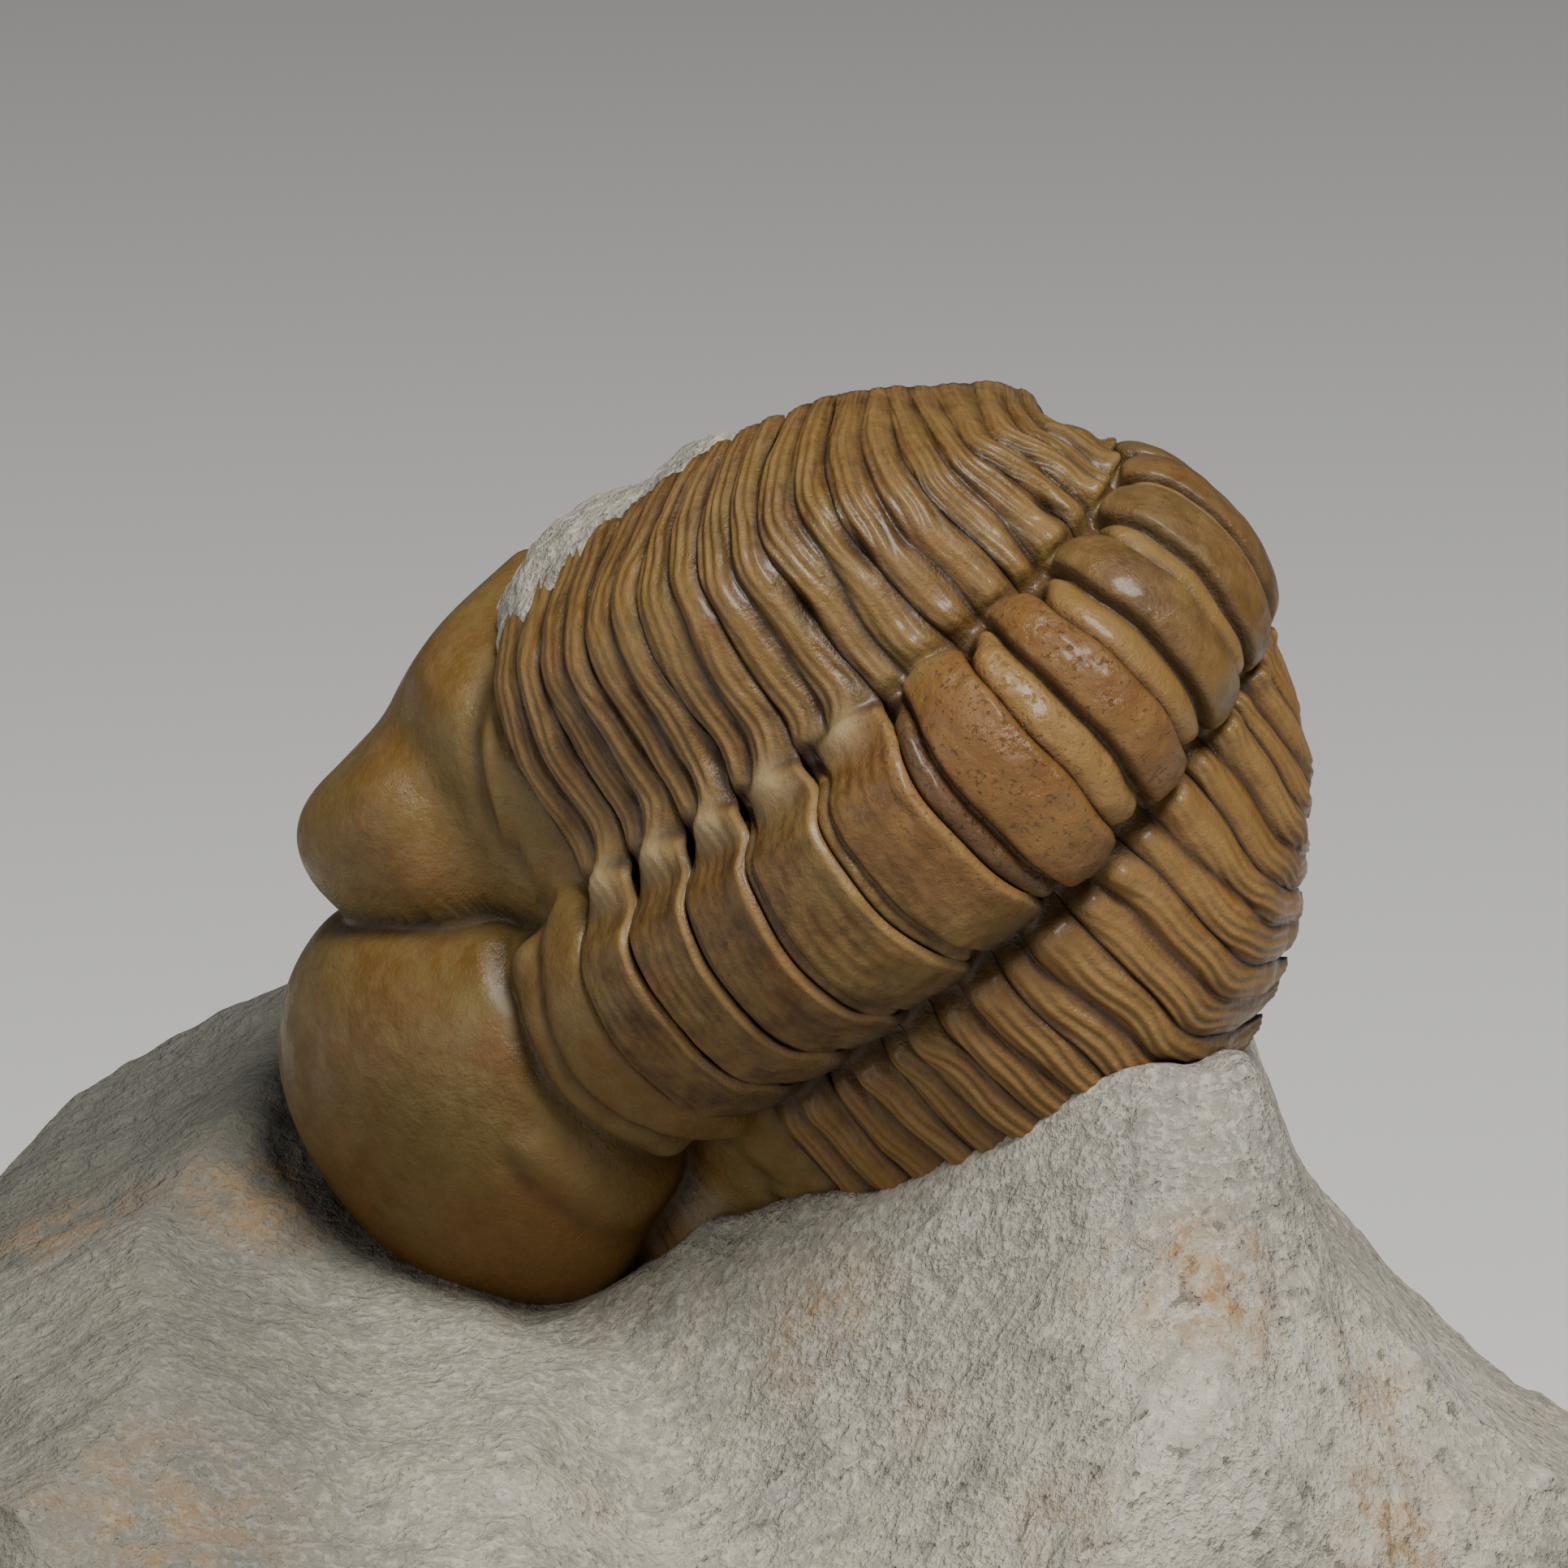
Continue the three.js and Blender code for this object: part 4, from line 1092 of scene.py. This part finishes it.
def stone_points():
    """Places of the grid's corners, in mm from the hinge."""
    columns, rows = STONE_CELLS
    u, v = np.meshgrid(np.linspace(-1, 1, columns + 1), np.linspace(-1, 1, rows + 1))
    out = np.maximum(np.abs(u), np.abs(v))
    past = (out - TOP_PART) / (1 - TOP_PART)
    turned = 1 - np.maximum(1 - past * 2, 0) ** 2
    share = np.where(out < TOP_PART, out / TOP_PART * TOP_REACH, TOP_REACH + SIDE_REACH * turned)
    a, b = u * np.sqrt(1 - v * v / 2), v * np.sqrt(1 - u * u / 2)
    angle = np.arctan2(b, a)
    reach = stone_reach(angle) * np.hypot(a, b) * (share / np.maximum(out, 1e-9))
    x, y = STONE_CENTRE[0] + np.cos(angle) * reach, STONE_CENTRE[1] + np.sin(angle) * reach
    down = np.clip(past, 0, 1)
    z = BASE_LEVEL + (stone_top(x, y) - BASE_LEVEL) * (1 - down)
    rough = stone_roughness(np.stack([x, y, z], -1))
    fade = smooth(0, 0.12, 1 - down) * smooth(BASE_LEVEL, BASE_LEVEL + 1.0, z)
    inward = np.where(down > 0, np.abs(rough) * 0.7 * fade, 0)
    x = x - np.cos(angle) * inward
    y = y - np.sin(angle) * inward
    z = z + rough * fade * (1 - down)
    return np.stack([x, y, z], -1)


# %% [markdown]
# The rock has ochre stains, most of them round the crest. On the left, above all behind the head,
# it is painted darker and a little greyer, as painted shade. Both could be painted by hand, but a
# stain is easily given by a middle, a size and a strength. They are stored as numbers with the
# corners, so that the finish puts the stains where the real ones are and the shade behind the
# head. One face closes the open edge of the grid, which is the underside.

# %% Make the stone
STAINS = [((11.4, -8.5, -4.2), 1.5, 1.0), ((14.9, -6.0, -7.2), 1.3, 0.6),
          ((15.2, -8.2, -9.6), 1.5, 0.7), ((3.1, -2.3, -6.8), 1.3, 0.55),
          ((-9.6, 6.2, -5.9), 1.6, 0.5), ((-13.7, 6.5, -6.8), 1.6, 0.55),
          ((-11.1, -8.1, -9.5), 2.6, 0.45), ((8.2, -10.9, -8.5), 1.2, 0.4),
          ((8.8, -7.5, -4.4), 1.0, 0.35)]


def stain_at(spots):
    stain = np.zeros(spots.shape[:2])
    for middle, half, strength in STAINS:
        far = np.linalg.norm(spots - np.array(middle), axis=-1) / half
        stain = np.maximum(stain, strength * np.exp(-far ** 2))
    return stain


# Painted shade on the left of the stone, most of all behind the head.
def left_stone_shade_at(spots):
    x, y = spots[..., 0], spots[..., 1]
    return np.maximum(smooth(1, 7, y) * smooth(-1, -8, x), 0.6 * smooth(-5, -10, x))


def make_stone():
    spots = stone_points()
    places = (spots + HINGE) * MM
    places[..., 2] = np.maximum(places[..., 2], 0)
    columns, rows = STONE_CELLS
    values = {"ochre": stain_at(spots), "left_stone_shade": left_stone_shade_at(spots)}
    piece = shaped_grid("stone", rows, columns, places, values)
    select_only(piece)
    bpy.ops.object.mode_set(mode="EDIT")
    bpy.ops.mesh.select_all(action="SELECT")
    bpy.ops.mesh.fill_holes(sides=0)
    bpy.ops.object.mode_set(mode="OBJECT")
    outward(piece)
    return piece


stone = make_stone()
print("stone faces:", len(stone.data.polygons))

# %% [markdown]
# The rolled-up body is full of the same limestone. It shows between the cheek and the tips of the
# first pleurae and in the opening behind. It is put together from a closed body under the thorax,
# whose outline follows the joints a little below the shell, and five lumps beside and under it.

# %% Parts of the filling
FILLING_FEET = (0.88, 0.5, -0.5, -0.88)
BELOW_SHELL = 0.95
FRONT_DEPTH, REAR_DEPTH = 6.6, 4.6
LUMPS = [((2.0, 0, -8.4), (5.6, 8.0, 4.2), 2.8), ((-4.6, 0, -6.4), (5.0, 7.2, 2.2), 2.4),
         ((-5.0, 0, -6.0), (5.4, 8.6, 1.0), 2.6), ((0.6, 7.4, -5.0), (3.0, 2.1, 3.2), 2.2),
         ((3.4, 7.5, -5.1), (2.6, 1.9, 3.0), 2.2)]


def filling_loops():
    """One closed loop per joint: along the shell, and back over the feet below."""
    q = np.linspace(-0.97, 0.97, 61)
    rows = []
    for k, (spot, turn) in enumerate(joints):
        sizes = section_sizes(k)
        half = sizes["axis"] + sizes["inner"] + sizes["outer"]
        depth = FRONT_DEPTH if k < 4 else REAR_DEPTH
        top = on_joint(k, q, -BELOW_SHELL)
        foot = np.array([spot + turn @ [0, half * share, -depth] for share in FILLING_FEET])
        rows.append(np.vstack([top, foot, top[:1]]))
    return np.array(rows)


def core():
    """The loops as one closed body of triangles."""
    places = to_metres(filling_loops())
    rows, columns = places.shape[0] - 1, places.shape[1] - 1
    piece = shaped_grid("stone_filling", rows, columns, places, {})
    select_only(piece)
    bpy.ops.object.mode_set(mode="EDIT")
    bpy.ops.mesh.select_all(action="SELECT")
    bpy.ops.mesh.remove_doubles(threshold=1e-7)
    bpy.ops.mesh.fill_holes(sides=0)
    bpy.ops.mesh.quads_convert_to_tris()
    bpy.ops.mesh.normals_make_consistent(inside=False)
    bpy.ops.object.mode_set(mode="OBJECT")
    return piece


def lump(at, size, power):
    """A ball pressed into a rounded block, in the animal's own frame."""
    piece, rays = add_ball(5)
    reach = (np.abs(rays) ** power).sum(1) ** (-1 / power)
    place_corners(piece.data, to_metres(np.array(at) + rays * reach[:, None] * np.array(size)))
    return piece


# %% [markdown]
# A boolean union would leave sharp seams between the parts. A voxel remesh melts them into one
# body instead, smoothing rounds it, and noise along the normals breaks its surface up like the
# rest of the rock.

# %% Join the filling
VOXEL = 0.2


def roughen(piece, *parts):
    """Moves every corner along its normal by noise: (height, size, octaves, seed) in mm."""
    count = len(piece.data.vertices)
    spots, normals = np.empty(count * 3, np.float32), np.empty(count * 3, np.float32)
    piece.data.vertices.foreach_get("co", spots)
    piece.data.vertices.foreach_get("normal", normals)
    spots, normals = spots.reshape(-1, 3), normals.reshape(-1, 3)
    rough = sum(height * fractal(spots / MM, *kind) for height, *kind in parts)
    place_corners(piece.data, spots + normals * rough[:, None] * MM)


def make_filling():
    piece = core()
    lumps = [lump(*values) for values in LUMPS]
    select_only(piece)
    for other in lumps:
        other.select_set(True)
    bpy.ops.object.join()
    apply(piece, "REMESH", mode="VOXEL", voxel_size=VOXEL * MM)
    apply(piece, "SMOOTH", factor=0.5, iterations=16)
    roughen(piece, (0.32, 2.6, 3, 4.4), (0.09, 0.7, 3, 7.7))
    bpy.ops.object.shade_smooth()
    return piece


filling = make_filling()
print("filling faces:", len(filling.data.polygons))

# %% [markdown]
# The limestone is pale and dull, with grey bands and fine streaks along its bedding, patches of
# pink and grey, light grains and dark pits. A photograph of rock wrapped round it would smear on
# the steep sides. Noise in three dimensions doesn't, because it is solid all through. A Mapping
# node turns and stretches it for the bands, the streaks and the pits.

# %% Stone finish
STONE_SHADE, STONE_LIGHT = (0.250, 0.227, 0.172), (0.400, 0.370, 0.298)
MOTTLE, BAND, STREAK = (0.180, 0.163, 0.124), (0.18, 0.173, 0.157), (0.17, 0.16, 0.135)
# The last colour on the next line is painted shade for the left of the stone.
PINK, LIGHT_GRAIN, LEFT_STONE_SHADE = (0.38, 0.295, 0.20), (0.60, 0.552, 0.448), (0.088, 0.085, 0.068)
OCHRE, OCHRE_FLECK, DARK_PIT = (0.37, 0.245, 0.115), (0.235, 0.115, 0.030), (0.14, 0.115, 0.085)
STONE_ROUGHNESS = 0.92
LAYER_TURN = (0, math.radians(-45), math.radians(10))
LAYER_STRETCH = (1.7, 1.2, 1)


def along_layers(tree):
    """Object coordinates, turned and stretched along the rock's layers."""
    node = tree.nodes.new("ShaderNodeMapping")
    node.vector_type = "TEXTURE"
    node.inputs["Rotation"].default_value = LAYER_TURN
    node.inputs["Scale"].default_value = LAYER_STRETCH
    tree.links.new(tree.coords, node.inputs["Vector"])
    return node.outputs["Vector"]


def stone_material():
    tree = Tree("limestone")
    plain, tree.coords = tree.coords, along_layers(tree)
    band = tree.spots(170, 3, 0.55, 0.42, 0.66)
    streak = tree.noise(1300, 3, 0.6)
    pit = tree.spots(2600, 3, 0.6, 0.60, 0.70)
    tree.coords = plain
    grain = tree.spots(4200, 3, 0.7, 0.35, 0.65)
    clump = tree.noise(900, 4, 0.6)
    color = tree.mix(tree.spots(110, 3, 0.5, 0.38, 0.62), STONE_SHADE, STONE_LIGHT)
    color = tree.paint(color, tree.spots(430, 4, 0.65, 0.44, 0.60), 0.50, MOTTLE)
    color = tree.paint(color, band, 0.5, BAND)
    color = tree.paint(color, tree.spots(190, 4, 0.6, 0.50, 0.68), 0.40, PINK)
    color = tree.paint(color, grain, 0.42, LIGHT_GRAIN)
    color = tree.paint(color, tree.ramp(streak, 0.52, 0.66), 0.45, STREAK)
    # Painted shade darkens the left of the stone, behind the head.
    color = tree.paint(color, tree.attribute("left_stone_shade"), 0.9, LEFT_STONE_SHADE)
    rusty = tree.math("MULTIPLY", tree.attribute("ochre"), tree.ramp(clump, 0.36, 0.60))
    color = tree.paint(color, rusty, 0.75, OCHRE)
    color = tree.paint(color, rusty, tree.spots(2400, 3, 0.65, 0.46, 0.58), OCHRE_FLECK)
    spread = tree.math("MULTIPLY", tree.spots(75, 2, 0.5, 0.40, 0.60), 0.6)
    dots = tree.math("MULTIPLY", pit, tree.math("ADD", spread, 0.15))
    color = tree.mix(dots, color, DARK_PIT)
    tree.links.new(color, tree.shader.inputs["Base Color"])
    tree.shader.inputs["Roughness"].default_value = STONE_ROUGHNESS
    normal = tree.bump(streak, 1.0, 0.30 * MM)
    normal = tree.bump(clump, 0.8, 0.25 * MM, normal)
    normal = tree.bump(grain, 0.8, 0.06 * MM, normal)
    normal = tree.bump(tree.math("SUBTRACT", 1, dots), 0.7, 0.10 * MM, normal)
    tree.links.new(normal, tree.shader.inputs["Normal"])
    return tree.material


limestone = stone_material()
for piece in (stone, filling):
    piece.data.materials.clear()
    piece.data.materials.append(limestone)
    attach(piece, "root")
    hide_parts("matrix")
print("nodes in the limestone's finish:", len(limestone.node_tree.nodes))
